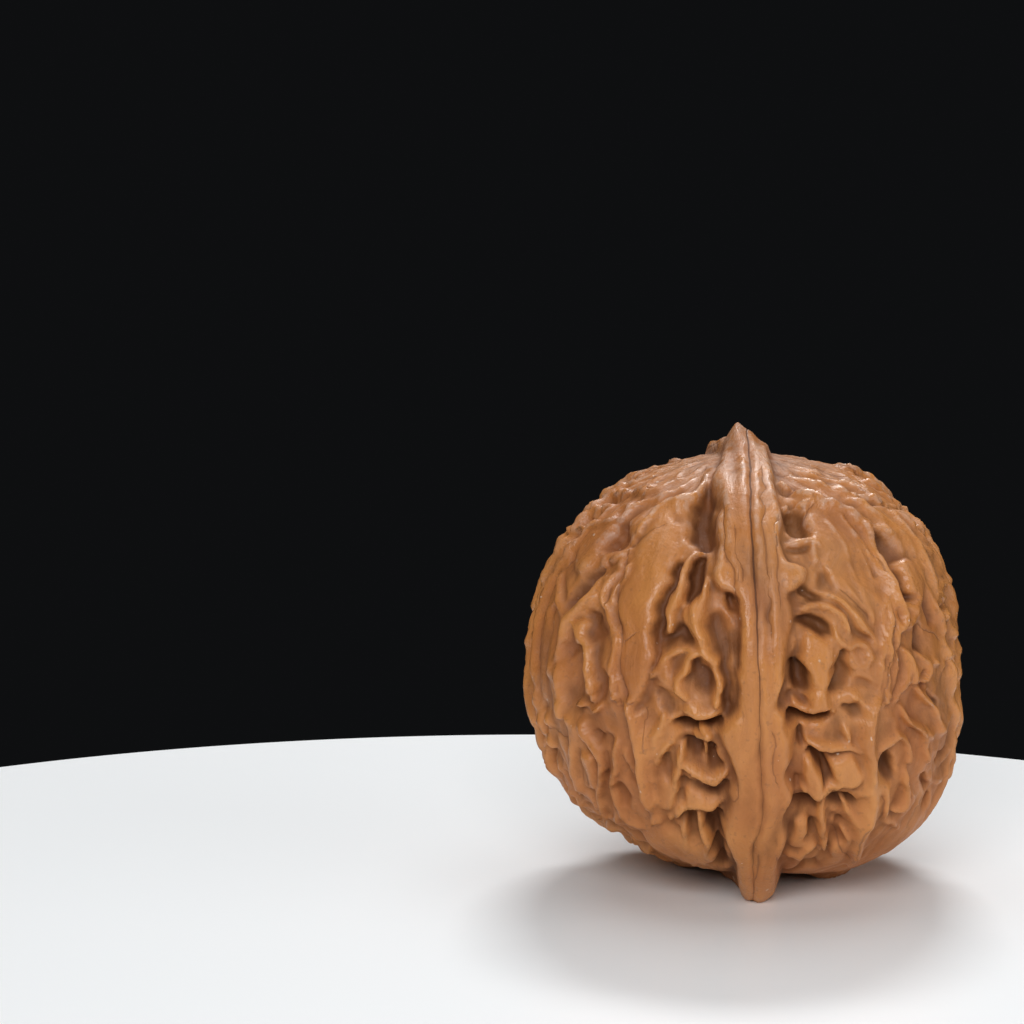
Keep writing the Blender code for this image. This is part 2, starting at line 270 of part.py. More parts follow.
# Hollows of the front. Each is depth and its (right, up, half width) points.
FRONT_HOLLOWS = (
    (0.55, ((8.6, 5.4, 0.4), (9.6, 4.4, 0.45), (10.6, 3.3, 0.45), (11.4, 2.4, 0.4))),
    (0.45, ((7.4, 9.8, 0.5), (7.9, 8.4, 0.6), (8.0, 7.2, 0.5))),
    (0.45, ((10.4, 12.9, 0.3), (11.4, 11.7, 0.4), (12.2, 10.2, 0.4), (12.9, 8.4, 0.35))),
    (0.75, ((-4.8, -7.0, 2.0), (-5.2, -10.0, 2.5), (-4.6, -13.0, 2.3), (-4.6, -16.4, 2.0))),
    (0.65, ((7.4, -6.4, 2.2), (8.0, -10.0, 2.4), (7.8, -14.0, 2.4), (7.6, -16.4, 1.6))),
    (0.50, ((15.4, -4.0, 1.4), (15.2, -8.0, 1.4), (14.6, -12.0, 1.3))),
    (0.50, ((-14.0, -6.0, 1.5), (-13.4, -9.0, 1.5), (-12.8, -12.6, 1.4))),
    (0.80, ((-15.6, 2.4, 1.6), (-15.4, -1.0, 1.7), (-15.6, -3.6, 1.3))),
    (1.45, ((-3.9, 16.0, 0.6), (-4.2, 14.0, 1.0), (-4.3, 12.2, 1.2), (-4.0, 11.0, 0.8))),
    (1.40, ((-4.3, 9.6, 0.5), (-4.6, 8.6, 0.75), (-4.9, 7.2, 0.75), (-5.2, 6.2, 0.5))),
    (1.05, ((-6.2, 9.6, 0.3), (-6.8, 7.8, 0.4), (-7.5, 6.0, 0.45), (-8.1, 4.4, 0.5), (-8.4, 2.8, 0.5),
            (-8.4, 1.2, 0.35), (-8.5, 0.0, 0.35))),
    (0.85, ((-7.8, 2.2, 0.7), (-6.8, 2.4, 0.7), (-6.1, 3.4, 0.7), (-5.4, 2.2, 0.6))),
    (1.30, ((-12.8, -17.0, 0.9), (-10.8, -18.2, 1.3), (-9.0, -18.3, 1.4), (-8.0, -18.7, 0.7))),
    (0.60, ((-8.6, 0.4, 0.4), (-8.6, -1.4, 0.45), (-8.9, -3.0, 0.4), (-9.6, -4.2, 0.35),
            (-10.6, -4.7, 0.3), (-11.6, -3.8, 0.25), (-11.9, -1.5, 0.25))),
    (1.25, ((-12.2, 13.0, 0.7), (-12.7, 11.8, 1.2), (-12.0, 11.5, 0.9))),
    (0.50, ((-13.6, 14.8, 0.9), (-12.6, 15.2, 0.7))),
    (1.30, ((-14.3, 8.4, 0.5), (-15.1, 7.5, 0.8), (-15.9, 6.3, 0.7), (-16.4, 5.4, 0.5))),
    (0.50, ((-17.2, 7.6, 0.5), (-17.0, 5.8, 0.5))),
    (1.00, ((-14.8, 4.4, 0.5), (-14.3, 3.6, 0.75), (-14.0, 2.6, 0.75))),
    (0.70, ((-13.9, 1.6, 0.7), (-13.8, -0.6, 0.7), (-13.7, -2.4, 0.8), (-13.8, -3.6, 0.5))),
    (0.90, ((-16.5, 0.8, 0.7), (-15.6, 0.9, 0.5))),
    (0.60, ((-15.8, -0.4, 0.4), (-15.5, -1.6, 0.5), (-16.2, -2.4, 1.0), (-16.2, -3.6, 0.7))),
    (0.70, ((-15.6, -5.4, 0.4), (-15.0, -5.5, 0.4))),
    (0.95, ((-14.2, -7.2, 0.6), (-13.4, -7.1, 0.5), (-12.7, -7.3, 0.35))),
    (0.90, ((-13.4, -8.8, 0.4), (-13.2, -10.2, 0.5), (-13.1, -11.3, 0.3))),
    (0.95, ((-11.7, -11.9, 0.5), (-11.4, -12.6, 0.6), (-11.4, -13.5, 0.4))),
    (0.80, ((-15.3, -13.7, 0.4), (-14.9, -14.2, 0.3))),
    (0.90, ((-10.6, -16.6, 0.5), (-9.9, -16.9, 0.6))),
    (0.50, ((-11.2, -9.4, 0.25), (-10.8, -10.6, 0.3), (-10.4, -11.6, 0.3))),
    (1.10, ((-1.4, 6.3, 0.35), (-1.4, 5.4, 0.45))),
    (0.65, ((-2.8, 4.2, 0.7), (-2.4, 2.8, 0.95), (-2.0, 1.2, 0.8), (-1.7, -0.6, 0.6), (-1.7, -2.4, 0.5),
            (-1.6, -4.0, 0.5), (-1.7, -5.0, 0.35))),
    (0.95, ((-4.6, -0.2, 0.7), (-4.1, -1.1, 1.1), (-3.9, -2.2, 0.9))),
    (0.60, ((-7.6, -2.9, 0.7), (-7.0, -3.8, 0.8), (-6.6, -4.6, 0.5))),
    (0.70, ((-8.2, -2.9, 0.25), (-8.1, -3.0, 0.25))),
    (2.20, ((-6.2, -6.0, 0.5), (-5.2, -6.0, 0.6), (-4.2, -6.0, 0.6), (-3.0, -5.8, 0.5),
            (-2.4, -5.4, 0.3))),
    (0.85, ((-7.4, -9.2, 0.7), (-7.0, -10.2, 0.7))),
    (1.70, ((-5.6, -7.9, 0.5), (-4.9, -8.1, 0.7), (-4.4, -8.7, 0.6))),
    (0.90, ((-5.3, -9.4, 0.5), (-4.9, -10.0, 0.5))),
    (1.90, ((-2.9, -8.3, 0.5), (-3.0, -9.2, 0.7), (-2.5, -9.9, 0.6))),
    (1.00, ((-6.0, -10.8, 0.3), (-5.8, -11.6, 0.4), (-6.1, -12.4, 0.3))),
    (1.40, ((-1.8, -11.2, 0.3), (-2.4, -12.0, 0.4), (-3.6, -12.4, 0.5), (-4.9, -12.1, 0.45),
            (-5.7, -11.3, 0.35))),
    (1.70, ((-5.8, -14.8, 0.5), (-5.0, -14.8, 0.6), (-4.9, -15.8, 0.6))),
    (1.60, ((-2.3, -14.3, 0.4), (-3.0, -14.9, 0.6), (-2.9, -16.0, 0.6))),
    (2.00, ((-2.5, -17.0, 0.6), (-2.7, -18.1, 0.8), (-2.2, -19.0, 0.6))),
    (1.50, ((3.5, 16.4, 0.4), (4.1, 16.0, 0.55), (5.0, 15.7, 0.35))),
    (1.80, ((4.4, 14.5, 0.6), (4.6, 13.6, 1.0), (4.7, 12.8, 1.0), (5.8, 12.7, 0.7))),
    (0.50, ((4.8, 10.9, 0.5), (5.6, 10.9, 0.4))),
    (0.45, ((7.6, 11.2, 0.35), (7.6, 10.2, 0.4))),
    (1.50, ((12.5, 12.2, 0.6), (13.1, 11.2, 0.9), (13.7, 10.0, 1.1), (14.4, 8.6, 1.0), (15.0, 7.2, 0.7),
            (15.4, 6.4, 0.3))),
    (0.45, ((6.4, 17.2, 0.8), (8.4, 16.6, 1.0), (10.2, 15.6, 1.0), (11.9, 14.6, 0.9))),
    (0.40, ((14.8, 11.4, 0.4), (15.2, 10.6, 0.5))),
    (1.00, ((5.0, 7.3, 0.3), (5.9, 6.9, 0.5), (6.6, 6.3, 0.4))),
    (0.50, ((7.2, 8.2, 0.5), (7.0, 7.2, 0.4))),
    (0.50, ((5.4, 5.6, 0.3), (6.3, 5.8, 0.25))),
    (1.40, ((5.1, 4.1, 0.35), (5.9, 3.8, 0.55), (6.9, 3.4, 0.5), (7.7, 3.3, 0.35))),
    (0.60, ((5.4, 1.6, 0.6), (5.3, 0.4, 0.5))),
    (1.90, ((4.7, -0.1, 0.45), (5.0, -1.2, 0.65), (5.2, -2.2, 0.5))),
    (0.60, ((4.4, -3.2, 0.7), (5.6, -3.2, 0.4))),
    (1.70, ((9.2, 0.9, 0.45), (9.2, -0.4, 0.5), (9.3, -1.5, 0.7), (8.8, -2.2, 0.6))),
    (0.60, ((10.4, -1.8, 0.6), (11.4, -1.9, 0.5))),
    (0.45, ((10.9, 0.7, 0.45), (11.1, 0.4, 0.4))),
    (3.00, ((4.6, -5.0, 0.6), (5.6, -5.1, 0.7), (6.6, -5.2, 0.55), (7.8, -5.2, 0.35))),
    (0.85, ((9.6, -4.2, 0.4), (10.2, -4.4, 0.5))),
    (0.50, ((7.0, -6.2, 0.6), (7.6, -6.8, 0.5), (8.2, -7.2, 0.3))),
    (1.70, ((5.3, -6.6, 0.35), (5.4, -7.4, 0.45))),
    (2.20, ((6.5, -8.8, 0.6), (7.3, -9.3, 0.65), (7.8, -10.2, 0.6), (8.0, -11.2, 0.6),
            (8.1, -12.0, 0.5))),
    (0.80, ((8.8, -8.9, 0.4), (9.4, -8.9, 0.3))),
    (0.90, ((4.7, -10.2, 0.2), (5.0, -11.1, 0.25))),
    (2.60, ((5.3, -12.9, 0.5), (6.1, -13.2, 0.7), (6.9, -13.5, 0.5))),
    (1.90, ((8.4, -13.1, 0.5), (9.2, -13.0, 0.6), (9.9, -12.7, 0.4))),
    (1.20, ((6.2, -14.9, 0.3), (6.4, -15.7, 0.35))),
    (1.10, ((8.4, -14.2, 0.45), (9.0, -14.9, 0.5))),
    (0.60, ((8.4, -16.2, 0.3), (8.8, -17.0, 0.3))),
    (1.80, ((13.0, -8.7, 0.55), (13.3, -9.6, 0.7), (13.6, -10.4, 0.5))),
    (0.90, ((16.1, -10.4, 0.35), (16.4, -11.4, 0.35))),
    (0.90, ((15.2, -13.9, 0.3), (15.4, -13.8, 0.3))),
    (0.70, ((12.6, -16.9, 0.3), (13.4, -16.6, 0.4), (14.3, -16.3, 0.3))),
    (0.90, ((8.5, -17.5, 0.3), (8.3, -18.1, 0.35))),
    (0.70, ((17.1, 5.4, 0.3), (17.5, 4.4, 0.35))),
    (0.90, ((16.1, 3.2, 0.5), (16.5, 2.3, 0.6))),
    (0.80, ((16.7, -0.8, 0.3), (16.7, -1.6, 0.3))),
    (0.80, ((17.1, -2.7, 0.2), (17.9, -3.9, 0.25), (18.7, -5.3, 0.25))),
    (0.70, ((15.1, -4.8, 0.25), (15.9, -6.0, 0.3), (16.4, -7.0, 0.25))),
    (0.60, ((17.6, -8.4, 0.3), (18.4, -7.8, 0.3))),
)

# Thin creases of the front. Each is depth and the points that it runs through.
FRONT_CREASES = (
    (0.30, ((-2.1, 14.6), (-2.3, 12.0), (-2.1, 9.6), (-1.6, 8.3), (-1.0, 7.0), (-0.5, 5.6))),
    (0.20, ((-1.2, 12.0), (-1.0, 10.0), (-0.6, 8.0))),
    (0.25, ((1.5, 17.4), (1.7, 14.0), (1.6, 11.6), (1.9, 8.6), (2.2, 5.6), (2.3, 3.0))),
    (0.20, ((3.0, 13.4), (3.1, 10.6), (2.9, 8.4), (3.4, 5.6))),
    (0.15, ((2.6, -5.8), (3.0, -7.6), (2.8, -9.4), (3.1, -10.8))),
    (0.20, ((2.9, -15.8), (3.1, -17.2), (3.0, -18.6), (2.4, -20.4))),
    (0.20, ((1.2, -16.8), (1.3, -18.4), (1.1, -19.4))),
    (0.15, ((-0.7, -10.8), (-0.6, -11.8), (-1.0, -12.6))),
    (0.12, ((-12.0, 1.9), (-11.4, 2.2), (-10.5, 2.8))),
    (0.12, ((-10.6, 11.6), (-9.4, 12.5), (-8.0, 13.1))),
    (0.30, ((-11.2, 11.2), (-11.6, 9.2), (-12.2, 7.4), (-12.2, 5.0), (-12.1, 3.0), (-11.8, 1.0),
            (-11.7, -1.0), (-11.5, -2.8), (-11.1, -3.8), (-10.5, -4.1), (-10.0, -3.6))),
    (0.20, ((-13.0, 7.0), (-13.2, 5.0), (-13.1, 2.0), (-12.9, -1.0))),
    (0.25, ((6.5, 15.0), (6.0, 14.4), (5.6, 13.9), (5.2, 13.6))),
    (0.25, ((9.5, 13.6), (10.4, 12.4), (11.6, 11.2), (12.4, 9.8), (13.0, 8.6))),
    (0.15, ((16.8, 3.9), (17.8, 3.2), (18.8, 2.3))),
    (0.20, ((8.3, -16.0), (8.9, -17.0), (9.6, -17.8))),
    (0.25, ((11.2, -14.8), (10.8, -16.0), (10.2, -17.2), (9.9, -18.0))),
    (0.25, ((12.6, -12.6), (12.8, -13.4), (12.8, -14.2))),
    (0.20, ((15.4, 6.9), (16.2, 5.9))),
    (0.20, ((13.5, 9.2), (14.2, 7.4), (14.8, 6.2))),
    (0.20, ((13.6, 5.4), (13.9, 3.0), (13.7, 1.0), (13.6, -1.4), (13.3, -3.4))),
    (0.20, ((14.5, 1.8), (14.8, -0.6), (14.5, -2.6))),
    (0.15, ((9.2, 6.8), (10.4, 5.6), (11.6, 4.2))),
    (0.15, ((-9.4, -4.8), (-9.6, -6.6), (-9.4, -8.2))),
    (0.15, ((-10.6, -9.0), (-10.2, -10.8), (-9.8, -12.8), (-9.3, -14.8))),
    (0.15, ((-16.0, -8.6), (-15.6, -10.4), (-15.2, -12.2))),
    (0.15, ((-18.6, -6.6), (-17.6, -7.4), (-16.6, -7.8))),
    (0.15, ((-9.0, 15.4), (-7.6, 15.8), (-6.0, 16.2), (-4.8, 17.0), (-4.1, 17.9))),
    (0.15, ((-9.6, 16.0), (-7.8, 16.5), (-6.2, 17.0), (-4.8, 17.8), (-3.9, 18.5))),
    (0.15, ((-9.6, 16.9), (-7.6, 17.4), (-5.8, 18.2), (-4.0, 18.9))),
    (0.15, ((-9.8, 17.7), (-7.8, 18.3), (-5.6, 18.9), (-3.6, 19.4))),
    (0.15, ((3.2, 18.0), (4.8, 17.6), (6.4, 17.5), (8.4, 17.3), (10.4, 16.4))),
    (0.15, ((3.0, 18.9), (4.6, 18.5), (6.8, 18.2), (8.8, 17.7), (10.6, 16.8))),
    (0.15, ((2.8, 19.6), (5.0, 19.0), (7.6, 18.6), (9.8, 17.8), (11.8, 16.6))),
)


def waves(points, size, seed, flow=1.0, count=28):
    """A smooth random field of unit strength with features of the given size, flow times longer along Z."""
    draw = np.random.default_rng(seed)
    towards = draw.normal(size=(count, 3))
    towards /= np.linalg.norm(towards, axis=1, keepdims=True)
    pitch = 2.0 * math.pi / (size * draw.uniform(0.75, 1.4, (count, 1)))
    vectors = towards * pitch * np.array([1.0, 1.0, 1.0 / flow])
    phases = draw.uniform(0.0, 2.0 * math.pi, count)
    return np.sin(points @ vectors.T + phases).sum(axis=1) * math.sqrt(2.0 / count)


def drift(points, size, reach, seed):
    """A random shift of each point, of the given reach, that changes over the given size."""
    return np.stack([waves(points, size, seed + k) for k in range(3)], axis=1) * reach


def body_level(points):
    """0 on the plain body, below 0 inside it."""
    share = np.abs((points - CENTRE) / HALVES) ** BODY_SQUARENESS
    return share.sum(axis=-1) - 1.0


def onto_body(points):
    """Each point moved along its line to the nut's centre until it lies on the plain body."""
    arms = points - CENTRE
    share = (np.abs(arms / HALVES) ** BODY_SQUARENESS).sum(axis=-1, keepdims=True)
    return CENTRE + arms / share ** (1.0 / BODY_SQUARENESS)


def body_normal(points):
    arms = (points - CENTRE) / HALVES
    slope = np.sign(arms) * np.abs(arms) ** (BODY_SQUARENESS - 1.0) / HALVES
    return slope / np.linalg.norm(slope, axis=-1, keepdims=True)


def thrown(spots, rise):
    """Where the lines of sight through (right, up) spots meet the front of the body, swollen by rise."""
    spots = np.array(spots, float)
    eye = CENTRE + SIGHT_DISTANCE * TOWARDS_EYE
    aims = CENTRE + spots[:, :1] * SIGHT_RIGHT + spots[:, 1:2] * SIGHT_UP - eye
    reach = np.linspace(0.93, 1.04, 240)
    along = eye + reach[None, :, None] * aims[:, None, :]
    swelling = 1.0 + rise / HALVES.mean()
    level = body_level(CENTRE + (along - CENTRE) / swelling)
    inside = level < 0.0
    first = np.where(inside.any(axis=1), inside.argmax(axis=1), level.argmin(axis=1))
    return onto_body(along[np.arange(len(spots)), first])


def smooth_path(spots, steps=3):
    """The spots with rounded corners, as a curve through all of them."""
    spots = np.array(spots, float)
    if len(spots) < 3:
        return spots
    padded = np.vstack([2 * spots[0] - spots[1], spots, 2 * spots[-1] - spots[-2]])
    found = []
    for before, start, end, after in zip(padded, padded[1:], padded[2:], padded[3:]):
        for step in range(steps):
            t = step / steps
            bend = (2 * start + (end - before) * t + (2 * before - 5 * start + 4 * end - after) * t ** 2
                    + (3 * start - before - 3 * end + after) * t ** 3)
            found.append(bend / 2)
    found.append(spots[-1])
    return np.array(found)


def path_distance(points, path, widths):
    """For each point, its distance to the path over the path's half width there: 1 at the path's edge."""
    nearest = np.full(len(points), np.inf)
    for start, end, wide, wide_end in zip(path, path[1:], widths, widths[1:]):
        run = end - start
        share = np.clip((points - start) @ run / (run @ run + 1e-9), 0.0, 1.0)
        gap = np.linalg.norm(points - start - share[:, None] * run, axis=1)
        nearest = np.minimum(nearest, gap / (wide + share * (wide_end - wide)))
    return nearest


def soft_max(a, b, blend):
    mix = np.clip(0.5 + 0.5 * (a - b) / blend, 0.0, 1.0)
    return b + (a - b) * mix + blend * mix * (1.0 - mix)


def smooth_share(values, low, high):
    """0 below low and 1 above high, with an even change between them."""
    share = np.clip((values - low) / (high - low), 0.0, 1.0)
    return share ** 2 * (3.0 - 2.0 * share)


def pointed(width, count):
    """Half widths along a path that narrow towards both of its ends."""
    along = np.linspace(-1.0, 1.0, count)
    return width * (1.0 - 0.55 * np.abs(along) ** 3)


def true_widths(path, widths):
    """Half widths as they measure on the body, from half widths that were read off the picture plane."""
    run = np.gradient(path, axis=0)
    run /= np.linalg.norm(run, axis=1, keepdims=True) + 1e-9
    across = np.cross(body_normal(path), run)
    seen = np.sqrt(np.clip(1.0 - (across @ TOWARDS_EYE) ** 2, 0.16, 1.0))
    return widths / seen


def eased(path):
    """A path on the body with the jumps evened out that lines of sight make near the outline."""
    for _ in range(3):
        inner = (path[:-2] + 2 * path[1:-1] + path[2:]) / 4
        path = onto_body(np.vstack([path[:1], inner, path[-1:]]))
    return path


def downhill(normals):
    """The way down along the body, longest where the body stands upright."""
    return np.array([0.0, 0.0, -1.0]) + normals * normals[:, 2:3]


def sag(plain):
    """How far a raised point slides downhill for each millimetre of its height."""
    return SAG - SAG_CHANGE * np.clip((plain[:, 2:3] - BODY_CENTRE_Z) / BODY_HALF_Z, -1.0, 1.0)


def read_stroke(kind, height, curve, widths, rise):
    path = thrown(curve[:, :2], rise)
    path = eased(onto_body(path - rise * sag(path) * downhill(body_normal(path))))
    return kind, height, path, true_widths(path, widths)


def front_strokes():
    """The front's forms as (kind, height, path on the body, half widths)."""
    strokes = []
    for width, height, spots in FRONT_RIDGES:
        curve = smooth_path(spots)
        strokes.append(read_stroke("ridge", 1.15 * height, curve, pointed(width, len(curve)), height))
    for width, height, spots in FRONT_LIPS:
        curve = smooth_path(spots)
        widths = pointed(width, len(curve))
        strokes.append(read_stroke("ridge", height, curve, widths, height))
        shadow = curve - np.array([0.0, 1.5 * width])
        strokes.append(read_stroke("hollow", 0.6 * height, shadow, 0.7 * widths, 0.0))
    for height, spots in FRONT_SWELLINGS:
        curve = smooth_path(spots)
        strokes.append(read_stroke("swelling", height, curve, curve[:, 2], height))
    for depth, spots in FRONT_HOLLOWS:
        curve = smooth_path(spots)
        strokes.append(read_stroke("hollow", depth, curve, curve[:, 2], 0.0))
    for depth, spots in FRONT_CREASES:
        curve = smooth_path(spots)
        strokes.append(read_stroke("crease", depth, curve, np.full(len(curve), CREASE_HALF_WIDTH), 0.6))
    return strokes


def spot_at(turn, tilt):
    """The body's point at a turn round Z from the front and a tilt above the middle, both in degrees."""
    turn = np.radians(turn)
    tilt = np.radians(tilt)
    towards = np.stack([np.sin(turn) * np.cos(tilt), -np.cos(turn) * np.cos(tilt), np.sin(tilt)], axis=-1)
    return onto_body(CENTRE + towards)


def read_share(points):
    """1 where the front was read stroke by stroke, falling to 0 round the sides."""
    facing = (body_normal(points) @ TOWARDS_EYE)
    return np.clip((facing - 0.22) / 0.2, 0.0, 1.0)


def grown_strokes(draw):
    """Ridges, links, lips and pits of the sides, back and underside, grown by rule in the front's manner."""
    strokes = []
    places = np.arange(*GROWN_TURNS, GROWN_SPACING)
    turns = [turn + draw.uniform(-2.0, 2.0) for side in (-1, 1) for turn in side * places]
    for number, middle in enumerate(turns):
        top = draw.uniform(56.0, 68.0) if number % 2 == 0 else draw.uniform(44.0, 56.0)
        bottom = draw.uniform(-74.0, -60.0) if number % 2 == 0 else draw.uniform(-58.0, -46.0)
        tilts = np.arange(bottom, top, 4.0)
        swing = draw.uniform(2.0, 4.2)
        pace = draw.uniform(16.0, 26.0)
        lean = draw.uniform(-0.07, 0.07)
        wobble = swing * np.sin(tilts / pace * 2.0 + draw.uniform(0.0, 6.0)) + lean * tilts
        path = spot_at(middle + wobble, tilts)
        widths = pointed(draw.uniform(0.55, 0.8), len(path)) * (1.0 + 0.3 * np.sin(tilts / 6.0 + number))
        strokes.append(("ridge", draw.uniform(0.9, 1.3), path, widths))
        beside = spot_at(middle + wobble + draw.choice((-3.0, 3.0)), tilts)[3:-3]
        strokes.append(("crease", 0.2, beside, np.full(len(beside), CREASE_HALF_WIDTH)))
        strokes.extend(links_beside(draw, middle, wobble, tilts))
    return strokes


def links_beside(draw, middle, wobble, tilts):
    """Short slanting ridges that leave a main ridge for the next, each over a pit."""
    strokes = []
    tilt = tilts[0] + draw.uniform(2.0, 8.0)
    while tilt < tilts[-1] - 6.0:
        start = middle + np.interp(tilt, tilts, wobble)
        reach = draw.uniform(7.0, 14.0) * draw.choice((-1.0, 1.0))
        drop = draw.uniform(-9.0, 9.0)
        shares = np.linspace(0.0, 1.0, 7)
        bow = draw.uniform(-3.0, 3.0) * np.sin(math.pi * shares)
        path = spot_at(start + reach * shares, tilt + drop * shares + bow)
        width = draw.uniform(0.36, 0.6)
        strokes.append(("ridge", draw.uniform(0.5, 1.0), path, pointed(width, len(path))))
        if draw.uniform() < 0.85:
            below = draw.uniform(3.5, 6.0)
            length = draw.uniform(0.15, 0.5)
            pit = spot_at(start + reach * (0.5 + length * (shares - 0.5)), tilt + 0.5 * drop + bow - below)
            size = draw.uniform(0.5, 0.95)
            strokes.append(("hollow", draw.uniform(0.8, 1.5), pit, pointed(size, len(pit))))
        tilt += draw.uniform(6.0, 11.0)
    return strokes


def beak_wrinkles(draw):
    """Fine ridges that fan out from the beak over both shoulders, with a crease beside each."""
    strokes = []
    for side in (-1.0, 1.0):
        for turn in np.arange(*WRINKLE_TURNS, WRINKLE_SPACING):
            tilts = np.arange(draw.uniform(46.0, 62.0), draw.uniform(77.0, 83.0), 3.0)
            turns = side * (turn + draw.uniform(-2.5, 2.5))
            turns = turns + draw.uniform(-6.0, 6.0) * np.sin(np.radians((tilts - 45.0) * 4.0))
            path = spot_at(turns, tilts)
            height = draw.uniform(0.25, 0.5)
            strokes.append(("ridge", height, path, pointed(draw.uniform(0.32, 0.5), len(path))))
            beside = spot_at(turns + 4.5, tilts)
            strokes.append(("crease", 0.15, beside, np.full(len(beside), CREASE_HALF_WIDTH)))
    return strokes


def all_strokes():
    """The front's read forms, and the grown ones wherever the front wasn't read."""
    draw = np.random.default_rng(SEED)
    growth = grown_strokes(draw) + beak_wrinkles(draw)
    return front_strokes() + [stroke for stroke in growth if read_share(stroke[2]).mean() < 0.35]


def seam_turn(points):
    """How far round the seam a point lies, in degrees: 0 at the beak, 90 in front, 180 below, 270 behind."""
    arms = points - CENTRE
    return np.degrees(np.arctan2(-arms[:, 1], arms[:, 2])) % 360.0


def round_seam(line, behind, points_turn):
    """The x of a line drawn beside the seam, read on the front and given by a rule behind."""
    path = thrown(smooth_path(line), 1.2)
    turns = seam_turn(path)
    order = np.argsort(turns)
    rear = np.arange(188.0, 358.0, 3.0)
    known = np.concatenate([turns[order], rear])
    across = np.concatenate([path[order, 0], behind(rear)])
    return np.interp(points_turn, known, across, period=360.0)


def rear_seam(turn):
    return 0.45 * np.sin(np.radians(turn * 2.0 + 40.0))


def rear_left_edge(turn):
    lobes = 0.7 * np.sin(np.radians(turn * 9.0 + 200.0)) + 0.5 * np.sin(np.radians(turn * 17.0 + 60.0))
    return rear_seam(turn) - 3.0 - lobes


def rear_right_edge(turn):
    lobes = 0.8 * np.sin(np.radians(turn * 8.0 + 80.0)) + 0.5 * np.sin(np.radians(turn * 19.0))
    near_beak = np.exp(-(((turn - 348.0) / 14.0) ** 2))
    return rear_seam(turn) + 3.2 + lobes - 1.6 * near_beak


def rib_relief(points):
    """The rib's height at each point, how fully each point is on the rib, and its x from the seam."""
    turn = seam_turn(points)
    seam = round_seam(SEAM_LINE, rear_seam, turn)
    left = round_seam(RIB_LEFT_EDGE, rear_left_edge, turn)
    right = round_seam(RIB_RIGHT_EDGE, rear_right_edge, turn)
    offset = points[:, 0] - seam
    across = np.abs(offset / (np.where(offset < 0.0, left, right) - seam))
    foot = np.exp(-(((turn - 150.0) / 13.0) ** 2)) + 0.9 * np.exp(-(((turn - 211.0) / 12.0) ** 2))
    below = np.exp(-(((turn - 180.0) / 42.0) ** 4))
    height = RIB_HEIGHT + (FOOT_HEIGHT - RIB_HEIGHT) * foot
    height -= 0.6 * np.exp(-((((turn + 180.0) % 360.0 - 180.0) / 16.0) ** 2))
    inside = np.clip(across, 0.0, 1.0)
    on_rib = smooth_share(1.0 - across, 0.0, RIB_EDGE_SHARE)
    flat = (1.0 - 0.25 * inside ** 2) * on_rib
    rounded = (1.0 - inside ** 2) ** 0.6
    along = np.radians(turn)
    place = np.stack([offset, 3.4 * np.cos(along), 3.4 * np.sin(along)], axis=1)
    strands = RIB_STRANDS[1] * waves(place, RIB_STRANDS[0], SEED + 41) * on_rib
    return height * (flat + below * (rounded - flat)) + strands, on_rib, offset


def flow_place(points, flow):
    """Coordinates in which lines from beak to foot run straight, shortened flow times along them."""
    arms = (points - CENTRE) / HALVES.mean()
    turn = np.arctan2(arms[:, 1], arms[:, 0])
    tilt = np.arctan2(arms[:, 2], np.hypot(arms[:, 0], arms[:, 1]))
    return np.stack([np.cos(turn), np.sin(turn), tilt / flow], axis=1) * HALVES.mean()


def net_relief(points):
    """Folds between the main ridges: crests that run mostly from beak to foot, with hollow flanks."""
    (broad_size, broad), (fine_size, fine), (small_size, small) = NET_FOLDS
    moved = flow_place(points + drift(points, 6.0, 1.2, SEED + 21), 2.6)
    net = broad * (1.0 - np.sqrt(waves(moved, broad_size, SEED + 31, count=40) ** 2 + 0.1))
    moved = flow_place(points + drift(points, 2.6, 0.3, SEED + 24), 3.0)
    net = net + fine * (1.0 - np.sqrt(waves(moved, fine_size, SEED + 32, count=40) ** 2 + 0.12))
    moved = flow_place(points + drift(points, 1.8, 0.25, SEED + 28), 1.8)
    net = net + small * (1.0 - np.sqrt(waves(moved, small_size, SEED + 33, count=40) ** 2 + 0.12))
    from_axis = np.hypot(points[:, 0], points[:, 1])
    return net * smooth_share(from_axis, 2.0, 14.0) - 0.1


def strand_relief(points):
    """Low fine strands that run from beak to foot over everything, closer together towards both ends."""
    moved = flow_place(points + drift(points, 5.0, 0.25, SEED + 27), 6.0)
    from_axis = np.hypot(points[:, 0], points[:, 1])
    size, height = STRANDS
    return height * waves(moved, size, SEED + 34, count=40) * smooth_share(from_axis, 3.0, 15.0)


def ridge_profile(across):
    """A narrow round crest on long hollow flanks, over distances in half widths."""
    tail = (1.0 + RIDGE_REACH ** 2) ** -RIDGE_FALL
    return np.clip(((1.0 + across ** 2) ** -RIDGE_FALL - tail) / (1.0 - tail), 0.0, 1.0)


def wandered(points):
    """The points shifted a little at random, so that strokes drawn at them wander like grown ones."""
    (broad, reach), (fine, fine_reach) = WANDERING
    return points + drift(points, broad, reach, SEED + 1) + drift(points, fine, fine_reach, SEED + 4)


